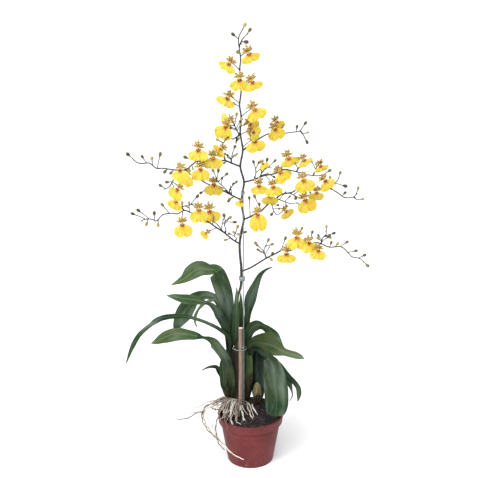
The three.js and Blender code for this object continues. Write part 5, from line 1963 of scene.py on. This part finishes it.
@dataclass
class Bloom:
    """An open flower in its own frame: it faces -Y, and its lip hangs from the callus at the origin."""

    width: float
    lip_ratio: float
    seed: int
    # The lip's outline as angles from straight down, in degrees, and reaches in shares of its width.
    lip_angles: Sequence[float] = (0, 7, 17, 28, 40, 53, 63, 71, 79, 86, 96, 115, 132, 145)
    lip_reaches: Sequence[float] = (
        0.46, 0.499, 0.554, 0.577, 0.589, 0.586, 0.559, 0.501, 0.418, 0.311, 0.201, 0.143, 0.149, 0.15,
    )
    lip_drop: float = 0.62
    lip_heart: float = 0.09
    # The five tepals' angles, their half widths in shares of the lip's width, and their reach.
    tepal_angles: Sequence[float] = (6, 48, 90, 132, 174)
    tepal_halves: Sequence[float] = (0.056, 0.08, 0.069, 0.08, 0.056)
    tepal_reach: float = 0.34
    star_rise: float = 0.1
    backward: float = 0.16
    frill: float = 0.022
    lip_half_thickness: float = 0.28
    tepal_half_thickness: float = 0.24
    wing_half_thickness: float = 0.2
    # The callus's knobs, as across, up and size, and the column's section, for a lip 30 mm wide.
    knobs: Rows = (
        (0.0, -1.4, 1.0), (-2.3, -1.1, 1.35), (2.3, -1.1, 1.35), (-1.2, -3.0, 0.9), (1.2, -3.0, 0.9),
        (0.0, -4.2, 0.6),
    )
    column_profile: Rows = (
        (0.5, -1.0), (1.15, -0.4), (1.2, 1.2), (1.35, 2.6), (1.5, 3.3), (1.25, 4.1), (0.5, 4.5),
    )
    column_lean: float = 48.0
    # Rows and columns of the two kinds of petal.
    lip_grid: tuple[int, int] = (10, 73)
    tepal_grid: tuple[int, int] = (11, 7)

    def __post_init__(self) -> None:
        """Draws what makes this flower differ from the next."""
        self.random = np.random.default_rng(self.seed)
        self.scale = self.width / 30

    def add_lip(self, draft: Draft) -> None:
        """Adds the waved, two-lobed lip.

        Args:
            draft: The flower's mesh.
        """
        rows, columns = self.lip_grid
        angles = np.linspace(-self.lip_angles[-1], self.lip_angles[-1], columns)
        phi = np.radians(angles)
        first, second, third = self.random.uniform(0, math.tau, 3)
        smooth = Route(list(zip(self.lip_angles, self.lip_reaches, strict=True))).at(np.linspace(0, 1, 200))
        outline = np.interp(np.abs(angles), smooth[:, 0], smooth[:, 1]) * self.width
        wave = np.sin(phi * 15 + first) + 0.8 * np.sin(phi * 9 + second) + 0.5 * np.sin(phi * 26 + third)
        outline *= 1 + self.frill * wave
        share = np.append(np.linspace(1, 0.1, rows - 1), 0.012)[:, None] * np.ones(columns)
        stretch = (self.lip_ratio - self.lip_heart) / (self.lip_drop - self.lip_heart)
        x = np.sin(phi) * outline * share
        z = -np.cos(phi) * outline * share
        z = np.where(z < 0, z * stretch, z) - self.lip_heart * self.width
        down = np.clip(-z / (self.lip_ratio * self.width), 0, 1)
        ruffle = np.sin(phi * 7.5 + third) + 0.7 * np.sin(phi * 13 + first)
        y = 1.0 * self.scale * ruffle * share**2.5 * np.abs(np.cos(phi * 0.5))
        fold = np.exp(-((x / (0.09 * self.width)) ** 2))
        y -= self.scale * (3.4 * down * (1 - down) + 1.1 * fold * down)
        y += 0.09 * np.abs(x)
        pattern, tone = pattern_at(angles[None, :], share), self.random.uniform(0, 1)
        draft.add_plate(np.stack([x, y, z], -1), self.lip_half_thickness, pattern, Tissue.LIP, tone)

    def add_tepals(self, draft: Draft) -> None:
        """Adds the five waved tepals, which bend back round the column.

        Args:
            draft: The flower's mesh.
        """
        rows, columns = self.tepal_grid
        rise = np.array([0.0, 0.0, self.star_rise * self.width])
        for angle, half in zip(self.tepal_angles, self.tepal_halves):
            heading = math.radians(angle + self.random.uniform(-11, 11))
            out = np.array([math.cos(heading), 0.0, math.sin(heading)])
            side = np.cross(out, [0.0, -1.0, 0.0])
            share = np.linspace(0, 1, rows)
            tip = self.tepal_reach * self.width * self.random.uniform(0.86, 1.08)
            reach = -0.4 + (tip + 0.4) * share
            breadth = half * self.width * (
                0.28 + 0.72 * np.sin(math.pi * share**0.85)
            ) * np.where(share > 0.97, 0.35, 1)
            u = np.linspace(-1, 1, columns)
            across = breadth[:, None] * u
            wave = 0.7 * self.scale * u**2 * np.sin(share * 9 + self.random.uniform(0, 6))[:, None]
            curl = self.random.uniform(-2.6, 2.6) * self.scale * share**2
            y = self.backward * reach[:, None] + curl[:, None] + wave - 0.14 * np.abs(across)
            middle = out * reach[:, None, None] + side * across[..., None] + rise
            middle[..., 1] += y
            draft.add_plate(
                middle, self.tepal_half_thickness, pattern_at(across, reach[:, None]), Tissue.TEPAL,
            )

    def bead(self, centre: Sequence[float], radii: Sequence[float]) -> np.ndarray:
        """Gives the rings of a small rounded knob, upright, at a centre and with three radii.

        Args:
            centre: The knob's centre.
            radii: Its three radii.

        Returns:
            The rings' points.
        """
        heights = np.linspace(-0.94, 0.94, 6)
        rings = lathe([(math.sqrt(1 - h * h), h) for h in heights], 9)
        return (rings * radii + centre) * self.scale

    def add_heart(self, draft: Draft) -> None:
        """Adds the knobbly callus and, above it, the winged column at the star's centre.

        Args:
            draft: The flower's mesh.
        """
        ovary = self.bead((0, 0.9, self.star_rise * 30), (1.5, 1.0, 1.6))
        draft.add_tube(ovary, Tissue.COLUMN)
        for x, z, size in self.knobs:
            knob = self.bead((x, -1.35, z), (size, size * 0.8, size * 0.95))
            draft.add_tube(knob, Tissue.CALLUS, self.random.uniform(0, 1))
        lean = np.array(rotation(self.column_lean, "X"))
        draft.add_tube(lathe(self.column_profile, 12) * self.scale @ lean.T, Tissue.COLUMN)
        for sign in (-1, 1):
            steps, spread = np.linspace(0, 1, 5), np.linspace(-1, 1, 4)
            wing = np.array(
                [
                    [
                        [sign * (1.0 + 1.4 * s), -2.2 + 0.5 * s, 2.0 + w * (1.1 - 0.5 * s)] for w in spread
                    ] for s in steps
                ],
            ) * self.scale
            if sign > 0:
                wing = wing[:, ::-1]
            draft.add_plate(wing, self.wing_half_thickness, np.zeros((5, 4, 2)), Tissue.COLUMN)

    def draft(self) -> Draft:
        """Builds the whole flower.

        Returns:
            The flower.
        """
        draft = Draft()
        self.add_lip(draft)
        self.add_tepals(draft)
        self.add_heart(draft)
        return draft


@dataclass
class Stem:
    """A stem in place, with samples of its curve for finding the nearest place on it."""

    curve: Route
    radii: Sequence[float]
    samples: int = 60
    fullness: float = 1.12

    def __post_init__(self) -> None:
        """Samples the curve evenly."""
        self.points = self.curve.even(np.linspace(0, 1, self.samples + 1))
        self.shown = shown_at(self.points)

    def strand(self, random: np.random.Generator) -> Strand:
        """Makes the strand that stands for the stem, with slight swellings at its joints.

        Args:
            random: What chance is drawn from.

        Returns:
            The strand.
        """
        count = max(5, int(self.curve.length / 2.0))
        shares = np.linspace(0, 1, count)
        radii = spaced(self.radii, shares) * self.fullness
        lengths = shares * self.curve.length
        radii = radii * (1 + 0.14 * np.sin(lengths / 24 * math.tau + random.uniform(0, 6)) ** 16)
        radii[-1] *= 0.5
        return Strand(self.curve.even(shares), radii, random.uniform(0, 1))


@dataclass
class Nearest:
    """The place on a stem that shows nearest to a given place."""

    stem: Stem
    share: float
    distance: float

    @property
    def point(self) -> np.ndarray:
        """The place itself."""
        return self.stem.points[round(self.share * self.stem.samples)]


def nearest_on(stems: Sequence[Stem], x: float, z: float) -> Nearest:
    """Finds the place on some stems that shows nearest to (x, z).

    Args:
        stems: The stems.
        x: How far across the place shows.
        z: How far up it shows.

    Returns:
        The nearest place.
    """
    best: Nearest | None = None
    for stem in stems:
        away = np.linalg.norm(stem.shown - [x, z], axis=1)
        index = int(away.argmin())
        if best is None or away[index] < best.distance:
            best = Nearest(stem, index / stem.samples, float(away[index]))
    return best


def bud_form() -> Object:
    """Makes the form of a closed bud, a millimetre long, with its three sepals' seams.

    Returns:
        The form.
    """
    profile = [
        (0.07, -0.5), (0.18, -0.43), (0.28, -0.26), (0.34, -0.05), (0.35, 0.1), (0.3, 0.27), (0.18, 0.42),
        (0.04, 0.5),
    ]
    rings = lathe(profile, 12)
    angles = np.linspace(0, math.tau, 12, endpoint=False)
    seams = 1 - 0.1 * (0.5 + 0.5 * np.cos(3 * angles)) ** 4
    rings[..., :2] *= seams[None, :, None]
    draft = Draft()
    draft.add_tube(rings, 0)
    return hidden_form("bud_form", draft)


def bract_form() -> Object:
    """Makes the form of a small pointed bract, a millimetre long, that hugs what is behind it.

    Returns:
        The form.
    """
    rows, columns = 6, 5
    share = np.linspace(0, 1, rows)
    breadth = 0.22 * (1 - share) ** 0.6 + 0.02
    u = np.linspace(-1, 1, columns)
    middle = np.array([
        [[b * w, 0.5 * b * w * w - 0.12 * s * s, s] for w in u] for s, b in zip(share, breadth)
    ])
    draft = Draft()
    draft.add_plate(middle, 0.03, np.zeros((rows, columns, 2)), 0)
    return hidden_form("bract_form", draft)


def hidden_form(name: str, draft: Draft) -> Object:
    """Makes an object that only SprigTree reads, without a tone of its own.

    Args:
        name: The object's name.
        draft: Its shape, in millimetres.

    Returns:
        The object.
    """
    mesh = draft.mesh(name, [])
    mesh.attributes.remove(mesh.attributes["tone"])
    form = set_out(name, mesh)
    form.hide_render = True
    return form


@dataclass
class Grower:
    """The trees and forms that all sprays are grown with."""

    tubes: TubeTree
    sprigs: SprigTree
    bud: Object
    bract: Object

    def clear(self) -> None:
        """Takes the forms out of the scene."""
        for form in (self.bud, self.bract):
            bpy.data.objects.remove(form)


@dataclass
class Spray:
    """Stems with their flowers and buds.

    Stems are (drift in depth, radii, places as across and up), from root to tip. Flowers are
    across, up, width, lean and turn, with an optional depth from their stem and lip length in
    widths. Buds are across and up, with an optional length and depth.
    """

    node: str
    stems: Sequence[tuple[float, Sequence[float], Rows]]
    flowers: Rows
    buds: Rows
    flower_depth: float = -9.0
    lip_ratio: float = 0.62
    nod: float = 12.0
    bud_length: float = 8.0
    stalk_radius: float = 0.66
    slant: float = 0.5
    late_buds: int = 8
    late_reach: tuple[float, float] = (8.0, 15.0)
    late_length: tuple[float, float] = (4.2, 6.2)

    def grow_stems(self, trunk: Stem) -> list[Stem]:
        """Lets each stem drift in depth from where it leaves the trunk or an earlier one.

        Args:
            trunk: The main stem.

        Returns:
            The stems.
        """
        grown: list[Stem] = []
        for drift, radii, places in self.stems:
            start = nearest_on([trunk, *grown], *places[0]).point[1]
            last = len(places) - 1
            depths = [start + drift * i / last for i in range(len(places))]
            grown.append(Stem(route([(x, z, depth) for (x, z), depth in zip(places, depths)]), radii))
        return grown

    def stalk_root(self, stems: Sequence[Stem], x: float, z: float) -> tuple[np.ndarray, np.ndarray]:
        """Finds where a stalk to a place leaves the stems.

        Args:
            stems: The stems.
            x: How far across the place shows.
            z: How far up it shows.

        Returns:
            The point on the stem and the stem's direction there.
        """
        near = nearest_on(stems, x, z)
        share = max(near.share - self.slant * near.distance / near.stem.curve.length, 0)
        pair = near.stem.curve.even(np.array([share, min(share + 0.01, 1)]))
        return pair[0], unit(pair[1] - pair[0])

    def stalk(self, start: np.ndarray, end: np.ndarray, arrival: np.ndarray, swelling: float) -> Strand:
        """Makes a stalk that leaves its stem sideways and arrives from a given direction.

        Args:
            start: Where it leaves the stem.
            end: Where it ends.
            arrival: The direction that it arrives in, times how far it comes straight.
            swelling: How much its end swells, as an ovary does.

        Returns:
            The strand.
        """
        t = np.linspace(0, 1, 12)[:, None]
        reach = np.linalg.norm(end - start)
        leave = (end - start) * 0.3 + np.array([0, 0, 0.08]) * reach
        p1, p2 = start + leave, end - arrival
        points = (1 - t) ** 3 * start + 3 * t * (1 - t) ** 2 * p1 + 3 * t * t * (1 - t) * p2 + t**3 * end
        radii = self.stalk_radius * (
            1 + 0.35 * np.exp(-t[:, 0] * 9) + swelling * np.clip(t[:, 0] - 0.55, 0, 1) * 1.6
        )
        return Strand(points, radii)

    def build(self, trunk: Stem, own: Sequence[Stem], grower: Grower, palette: Palette) -> None:
        """Grows the spray and puts it in place as one piece.

        Args:
            trunk: The main stem.
            own: Stems that the spray carries besides those that it grows.
            grower: The trees and forms to grow it with.
            palette: The materials.
        """
        random = np.random.default_rng(sum(map(ord, self.node)))
        stems = [*own, *self.grow_stems(trunk)]
        strands = [stem.strand(random) for stem in stems]
        petals, buds, bracts = Draft(), [], []
        for stem in stems[len(own):]:
            bracts.append(self.bract(stem.points[0], stem.points[2] - stem.points[0], 6.5, random))
        for x, z, width, lean, turn, *rest in self.flowers:
            offset, lip_ratio = (*rest, *(self.flower_depth, self.lip_ratio)[len(rest):])
            depth = nearest_on(stems, x, z).point[1] + offset
            place = seen(x, z, depth)
            nod = self.nod * math.sin(x * 0.7 + z)
            pose = np.array(rotation(turn, "Z") @ rotation(-nod, "X") @ rotation(-lean, "Y"))
            absorb(petals, Bloom(width, lip_ratio, int(random.integers(1 << 30))).draft(), pose, place)
            start, along = self.stalk_root(stems, x, z)
            reach = float(np.linalg.norm(place - start))
            arrival = pose @ np.array([0, -0.35, -0.1]) * reach
            strands.append(self.stalk(start, place + pose @ np.array([0, 0.4, 0]), arrival, 1.3))
            bracts.append(self.bract(start, along, 3.6, random))
        for x, z, *rest in self.buds:
            length = rest[0] if rest else self.bud_length
            depth = nearest_on(stems, x, z).point[1] + (rest[1] if len(rest) > 1 else 0.0)
            centre = seen(x, z, depth)
            start, along = self.stalk_root(stems, x, z)
            pointing = unit(centre - start)
            end = centre - pointing * length * 0.42
            strands.append(self.stalk(start, end, pointing * length * 0.4, 0.5))
            girth = length * random.uniform(0.92, 1.08)
            buds.append(Sprig(centre, pointing, (girth, girth, length), random.uniform(0, 1)))
            bracts.append(self.bract(start, along, 3.2, random))
        for _ in range(self.late_buds):
            stem = stems[int(random.integers(len(own), len(stems)))]
            stalk, bud = self.late_bud(stem, random)
            strands.append(stalk)
            buds.append(bud)
        materials = [getattr(palette, tissue.name.lower()) for tissue in Tissue]
        base = strand_mesh(strands)
        meshes = [
            grower.tubes.grow(base, Sides=8, Knob_Height=0.00018, Knob_Scale=420.0, Material=palette.stem),
            grower.sprigs.grow(sprig_mesh(bracts), Form=grower.bract, Material=palette.husk),
        ]
        if buds:
            meshes.append(grower.sprigs.grow(sprig_mesh(buds), Form=grower.bud, Material=palette.bud))
        if petals.count:
            meshes.append(petals.mesh("petals", materials))
        place_piece(join_meshes(self.node, meshes, materials), self.node)

    def late_bud(self, stem: Stem, random: np.random.Generator) -> tuple[Strand, Sprig]:
        """Makes a small bud on a short stalk that is yet to open.

        Args:
            stem: The stem that it grows from.
            random: What its place and size are drawn from.

        Returns:
            The stalk and the bud.
        """
        share = random.uniform(0.06, 0.6)
        start, ahead = stem.curve.even(np.array([share, share + 0.02]))
        along = unit(ahead - start)
        aside = np.array([-along[2], random.uniform(-0.5, 0.5), along[0]]) * random.choice([-1, 1])
        centre = start + (along * 0.5 + aside * 0.8 + [0.0, 0.0, 0.3]) * random.uniform(*self.late_reach)
        pointing = unit(centre - start)
        length = random.uniform(*self.late_length)
        stalk = self.stalk(start, centre - pointing * length * 0.42, pointing * length * 0.4, 0.3)
        return stalk, Sprig(centre, pointing, (length, length, length), random.uniform(0, 1))

    def bract(
        self, point: np.ndarray, along: np.ndarray, length: float, random: np.random.Generator,
    ) -> Sprig:
        """Makes a bract that hugs a joint of a stem.

        Args:
            point: The joint.
            along: The stem's direction there.
            length: The bract's length.
            random: What chance is drawn from.

        Returns:
            The bract.
        """
        facing = np.array([random.uniform(-1, 1), -1.0, 0.1])
        upward = unit(np.array(along, float)) + 0.3 * unit(facing)
        return Sprig(
            point + unit(facing) * 0.8, upward, (length, length, length), random.uniform(0, 1), facing,
        )


MAIN_STEM_PLACES: Rows = (
    (-33, 138, 28), (-26, 160, 28), (-22.5, 190, 26), (-22, 217, 25), (-23, 260, 25), (-24, 300, 25),
    (-21.5, 322, 22), (-17.4, 336, 17), (-16.3, 347, 15), (-16.1, 358, 14.6), (-16.2, 374, 15),
    (-18.4, 400, 15), (-18.6, 417, 15), (-15.4, 440, 15), (-11.6, 461, 15), (-15, 490, 15),
    (-13.3, 510, 15), (-11, 527, 15), (-17, 554, 15), (-13, 582, 15), (-17, 612, 15), (-15.5, 640, 14),
    (-18, 658, 13), (-15.5, 680, 12), (-18, 711, 12), (-16, 735, 12), (-18, 753, 12), (-13, 766, 12),
)
MAIN_STEM_RADII = (1.6, 2, 2, 2, 1.9, 1.8, 1.6, 1.4, 1.2, 1, 0.8)

SPRAYS = (
    Spray(
        "flower_stem", late_buds=0,
        stems=(
            (-3, (0.9, 0.6), ((-18, 752), (-19.5, 762), (-18, 771), (-12, 782))),
            (3, (0.8, 0.6), ((-16, 757), (-13, 765), (-4, 775))),
        ),
        flowers=(
            (-3, 743, 33, 22, 5, -9, 0.5), (-34, 727, 31, -32, -12, -9, 0.5), (-18, 701, 32, 0, 0),
            (2, 697, 33, 20, 8, -9, 0.46), (-37, 671, 33, -27, -5, -9, 0.52), (6, 652, 35, 25, 5, -9, 0.57),
            (3, 614, 27, 55, 35, -14), (-2, 627, 29, 45, 25, 9), (6, 599, 34, 15, 5),
            (-17, 493, 16, -20, 0),
        ),
        buds=(
            (-9, 788, 8), (-1, 780, 8), (-28, 773, 8), (-7, 761, 9, -4), (-20, 745, 9, -5), (-28, 661, 7),
            (-9, 438, 7, 1), (-15, 635, 7, -4),
        ),
    ),
    Spray(
        "spray_left_low",
        stems=(
            (-70, (1.3, 1.1, 0.9, 0.7), (
                (-19, 417), (-30, 424), (-45, 437), (-58, 446), (-70, 455), (-88, 464), (-100, 472),
                (-113, 477), (-124, 471), (-134, 472), (-150, 469), (-161, 458), (-168, 461), (-181, 461),
                (-188, 457),
            )),
            (-5, (0.9, 0.7), ((-113, 477), (-116, 483), (-107, 486), (-95, 489))),
            (8, (0.9, 0.7), ((-45, 437), (-50, 443), (-57, 452), (-68, 460))),
            (-5, (0.8, 0.6), ((-26, 421), (-24, 427), (-28, 431), (-24, 440))),
            (4, (0.8, 0.6), ((-43, 435), (-42, 441), (-45, 455), (-40, 461))),
        ),
        flowers=(
            (-117, 453, 32, 8, 0, -9, 0.75), (-88, 479, 31, 0, 10, -9, 0.75), (-70, 477, 35, 12, 0),
            (-75, 437, 18, -40, -20),
        ),
        buds=(
            (-150, 487), (-164, 472), (-191, 477), (-201, 471), (-178, 453), (-158, 451), (-90, 502),
            (-116, 490), (-45, 468), (-35, 464), (-27, 456), (-22, 448), (-29, 438, 7, -4), (-20, 434, 7),
            (-43, 424, 7),
        ),
    ),
    Spray(
        "spray_left_middle",
        stems=(
            (58, (1.3, 1.1, 0.9, 0.7), (
                (-15, 497), (-20, 498), (-32, 504), (-45, 511), (-60, 518), (-73, 524), (-88, 532),
                (-110, 532), (-129, 531), (-137, 519), (-147, 514),
            )),
            (5, (0.8, 0.6), ((-32, 504), (-36, 512), (-33, 518), (-28, 523))),
            (-5, (0.8, 0.6), ((-36, 507), (-44, 517), (-55, 528), (-58, 536))),
        ),
        flowers=(
            (-107, 540, 31, -15, -15, -9, 0.69), (-62, 524, 34, 0, 0), (-122, 515, 32, -30, -30, -9, 0.7),
            (-126, 494, 30, -20, -20),
        ),
        buds=(
            (-152, 521), (-141, 527), (-24, 527, 7), (-40, 541, 7), (-54, 547), (-63, 547),
            (-37, 494, 7, -4), (-84, 508, 7),
        ),
    ),
    Spray(
        "spray_left_upper",
        stems=(
            (-60, (1.3, 1.1, 0.9, 0.7), (
                (-17, 554), (-32, 560), (-42, 564), (-62, 564), (-88, 563), (-97, 558), (-108, 549),
                (-125, 548), (-148, 551), (-158, 551), (-170, 560), (-182, 559), (-190, 561), (-199, 569),
            )),
            (4, (0.8, 0.6), ((-32, 560), (-31, 572), (-29, 581))),
            (-3, (0.8, 0.6), ((-42, 564), (-44, 575), (-47, 581))),
        ),
        flowers=(
            (-63, 570, 35, 0, 0), (-48, 585, 27, -50, -30), (-87, 584, 35, 0, -5, -9, 0.57),
            (-84, 551, 31, 0, 10, -12, 0.7), (-118, 549, 31, 5, -15),
        ),
        buds=(
            (-151, 575, 9), (-181, 571, 7), (-205, 575), (-144, 545, 8, -4), (-134, 543, 7, -3),
            (-109, 570), (-26, 588, 7), (-26, 573, 7), (-37, 570, 6), (-165, 568, 7),
        ),
    ),
    Spray(
        "spray_left_short",
        stems=(
            (-26, (1, 0.8, 0.7), (
                (-17, 610), (-23, 605), (-30, 601), (-36, 605), (-41, 601), (-45, 595), (-50, 597),
            )),
            (-4, (0.8, 0.7), ((-19, 608), (-24, 619), (-29, 630))),
        ),
        flowers=((-41, 623, 32, -20, -12, -9, 0.78), (-35, 634, 26, -70, -35, -4)),
        buds=((-55, 600, 7), (-23, 643, 7)),
    ),
    Spray(
        "spray_right_top",
        stems=(
            (48, (1.2, 1, 0.8, 0.7), (
                (-13, 582), (-5, 588), (15, 602), (30, 610), (57, 611), (72, 613), (82, 615), (87, 622),
            )),
            (0, (0.8, 0.6), ((82, 615), (87, 609), (91, 602))),
        ),
        flowers=((40, 619, 31, 20, 8, -9, 0.68), (43, 631, 25, 25, 15, 6)),
        buds=((91, 628), (94, 596), (77, 622, 7), (54, 624, 7)), late_buds=1,
    ),
    Spray(
        "spray_right_upper",
        stems=(
            (-64, (1.3, 1.1, 0.9, 0.7), (
                (-11, 527), (5, 531), (22, 538), (42, 542), (56, 549), (65, 548), (77, 545), (95, 540),
                (115, 538), (127, 541),
            )),
            (-3, (0.8, 0.6), ((77, 545), (81, 553), (86, 563))),
            (5, (0.8, 0.6), ((106, 539), (109, 548), (112, 556))),
            (6, (0.9, 0.7), ((15, 535), (20, 544), (28, 552), (36, 553))),
            (0, (0.8, 0.6), ((7, 532), (9, 543), (8, 554))),
        ),
        flowers=(
            (63, 570, 34, 25, 0, -9, 0.53), (49, 545, 32, 35, 8), (20, 560, 17, 30, 0),
            (89, 566, 27, 30, 5, -9, 0.42), (117, 556, 26, 20, 5, -9, 0.42), (14, 522, 29, 5, 0),
            (38, 520, 30, 10, 0), (89, 532, 35, 15, 0, -9, 0.69), (125, 530, 29, 30, 20),
        ),
        buds=((41, 564, 7), (28, 566, 7), (5, 562, 7), (14, 561, 6), (133, 547, 7)),
    ),
    Spray(
        "spray_right_middle",
        stems=(
            (60, (1.4, 1.2, 1, 0.8), (
                (-11, 461), (0, 466), (20, 478), (30, 488), (40, 495), (52, 505), (70, 509), (79, 514),
                (101, 515), (135, 515), (148, 508), (160, 500), (175, 501), (181, 508),
            )),
            (-3, (0.8, 0.6), ((66, 508), (79, 501), (88, 498))),
            (4, (0.8, 0.6), ((44, 498), (57, 493), (69, 489), (80, 491))),
            (3, (0.8, 0.6), ((136, 515), (138, 523), (147, 530), (149, 537))),
            (-3, (0.8, 0.6), ((36, 492), (38, 480), (45, 469), (54, 475))),
            (0, (0.8, 0.6), ((175, 501), (181, 496), (186, 497))),
        ),
        flowers=(
            (33, 503, 29, 0, 0), (112, 510, 28, 0, 10), (92, 497, 35, 20, 0, -9, 0.7),
            (60, 477, 26, 30, 25), (12, 471, 31, 5, 0, -9, 1),
        ),
        buds=(
            (182, 516), (190, 497, 7), (77, 499, 7), (134, 535, 7), (143, 525, 7, -4), (151, 543, 7),
            (160, 520, 9), (160, 508, 7), (36, 470, 7), (15, 488, 7, -4), (7, 502), (-2, 499, 7),
            (84, 487, 7), (92, 511, 7),
        ),
    ),
    Spray(
        "spray_right_low",
        stems=(
            (-74, (1.4, 1.2, 1, 0.7), (
                (-16, 366), (0, 373), (28, 391), (45, 400), (57, 407), (70, 409), (80, 412), (95, 413),
                (112, 419), (122, 417), (135, 411), (157, 411), (170, 399), (176, 393), (189, 390),
                (198, 382),
            )),
            (-3, (0.9, 0.6), ((121, 417), (124, 427), (130, 435), (129, 441))),
            (4, (0.9, 0.6), ((27, 391), (24, 400), (24, 409), (28, 415))),
        ),
        flowers=(
            (62, 400, 34, 0, 0, -9, 0.57), (80, 430, 36, 0, 0), (101, 420, 31, 10, 0),
            (117, 406, 29, -5, -10, -9, 0.7),
        ),
        buds=(
            (139, 419, 7), (150, 417, 7), (166, 420, 7), (182, 404, 7), (197, 396, 7), (203, 377),
            (130, 448, 7), (143, 436, 7), (137, 428, 6), (9, 418), (31, 424, 7), (37, 416, 7), (38, 399, 7),
            (36, 388, 7), (13, 406, 7), (60, 427, 8), (88, 445, 7), (106, 438, 7), (116, 427, 7),
        ),
    ),
)


@dataclass
class Flowering:
    """The main stem and all the sprays on it."""

    places: Rows = MAIN_STEM_PLACES
    radii: Sequence[float] = MAIN_STEM_RADII
    sprays: Sequence[Spray] = SPRAYS

    def build(self, tubes: TubeTree, palette: Palette) -> None:
        """Grows each spray from the main stem.

        Args:
            tubes: The tree that strands are grown with.
            palette: The materials.
        """
        trunk = Stem(route(self.places), self.radii)
        grower = Grower(tubes, SprigTree(), bud_form(), bract_form())
        for spray in self.sprays:
            own = [trunk] if spray.node == "flower_stem" else []
            spray.build(trunk, own, grower, palette)
        grower.clear()


# -------- the studio


@dataclass
class Studio:
    """The camera, the lights, the pale world and the floor that the plant stands on."""

    floor_half: float = 60.0
    floor_colour: str = "#fbfbfb"
    world_colour: str = "#fbfcff"
    world_strength: float = 0.62
    sun_strength: float = 2.45
    sun_softness: float = 58.0
    sun_direction: Triple = (0.34, 0.8, -1.0)
    lights: Sequence[tuple[Triple, float, float]] = (
        ((-1.2, -1.3, 1.5), 0.9, 17.0), ((1.5, 0.6, 1.5), 0.7, 9.0),
    )

    def place_camera(self) -> None:
        """Puts the camera at the eye."""
        data = bpy.data.cameras.new("camera")
        data.sensor_width = SENSOR_MM
        data.sensor_fit = "HORIZONTAL"
        data.lens = LENS_MM
        camera = set_out("camera", data)
        camera.location = (0, -EYE_DISTANCE * MM, EYE_HEIGHT * MM)
        camera.rotation_euler = (math.radians(EYE_PITCH), 0, 0)
        bpy.context.scene.camera = camera

    def hang_light(self, data: Light, place: Sequence[float], aim: Vector) -> None:
        """Hangs a light at a place and points it along a direction.

        Args:
            data: The light.
            place: Where it hangs.
            aim: The direction it shines in.
        """
        light = set_out(data.name, data)
        light.location = place
        light.rotation_euler = aim.to_track_quat("-Z", "Y").to_euler()

    def place_lights(self) -> None:
        """Hangs a broad key light and soft area lights that point at the middle of the plant."""
        key = bpy.data.lights.new("key", "SUN")
        key.energy = self.sun_strength
        key.angle = math.radians(self.sun_softness)
        self.hang_light(key, (-1.0, -1.0, 3.0), Vector(self.sun_direction))
        for number, (place, size, power) in enumerate(self.lights):
            data = bpy.data.lights.new(f"softbox_{number}", "AREA")
            data.shape = "DISK"
            data.size = size
            data.energy = power
            self.hang_light(data, place, Vector((0, 0, 0.4)) - Vector(place))

    def lay_floor(self) -> None:
        """Lays the floor, which isn't part of the plant."""
        half = self.floor_half
        mesh = bpy.data.meshes.new("floor")
        corners = [(-half, -half, 0), (half, -half, 0), (half, half, 0), (-half, half, 0)]
        mesh.from_pydata(corners, [], [(0, 1, 2, 3)])
        paper = Mottled(
            "studio_paper", low="#f9f9f9", middle=self.floor_colour, high="#fdfdfd", patch_mm=400.0,
            grain_mm=6.0, roughness=0.9, relief_mm=0.0, ior=1.2,
        )
        mesh.materials.append(paper.make())
        set_out("floor", mesh)

    def light_world(self) -> None:
        """Fills the world with soft white light."""
        world = bpy.data.worlds.new("studio")
        world.use_nodes = True
        background = world.node_tree.nodes["Background"]
        background.inputs["Color"].default_value = linear(self.world_colour)
        background.inputs["Strength"].default_value = self.world_strength
        bpy.context.scene.world = world

    def build(self) -> None:
        """Sets the whole studio up, with plain colours rather than a film's."""
        bpy.context.scene.view_settings.view_transform = "Standard"
        self.place_camera()
        self.place_lights()
        self.lay_floor()
        self.light_world()


def main() -> None:
    """Builds the plant from the pot up, then the studio."""
    logging.basicConfig(level=logging.INFO, format="%(message)s")
    palette = Palette()
    tubes = TubeTree()
    NurseryPot().build(palette)
    PottingMix().build(palette)
    BambooCane().build(palette)
    ties = Ties()
    ties.build_wire(tubes, palette)
    ties.build_ring(tubes, palette)
    ties.build_twist(tubes, palette)
    ties.build_clip(palette)
    RootMass().build(tubes, palette)
    for pseudobulb in PSEUDOBULBS:
        pseudobulb.build(palette)
    for leaf in LEAVES:
        leaf.build(palette)
    Flowering().build(tubes, palette)
    Studio().build()


if __name__ == "__main__":
    main()
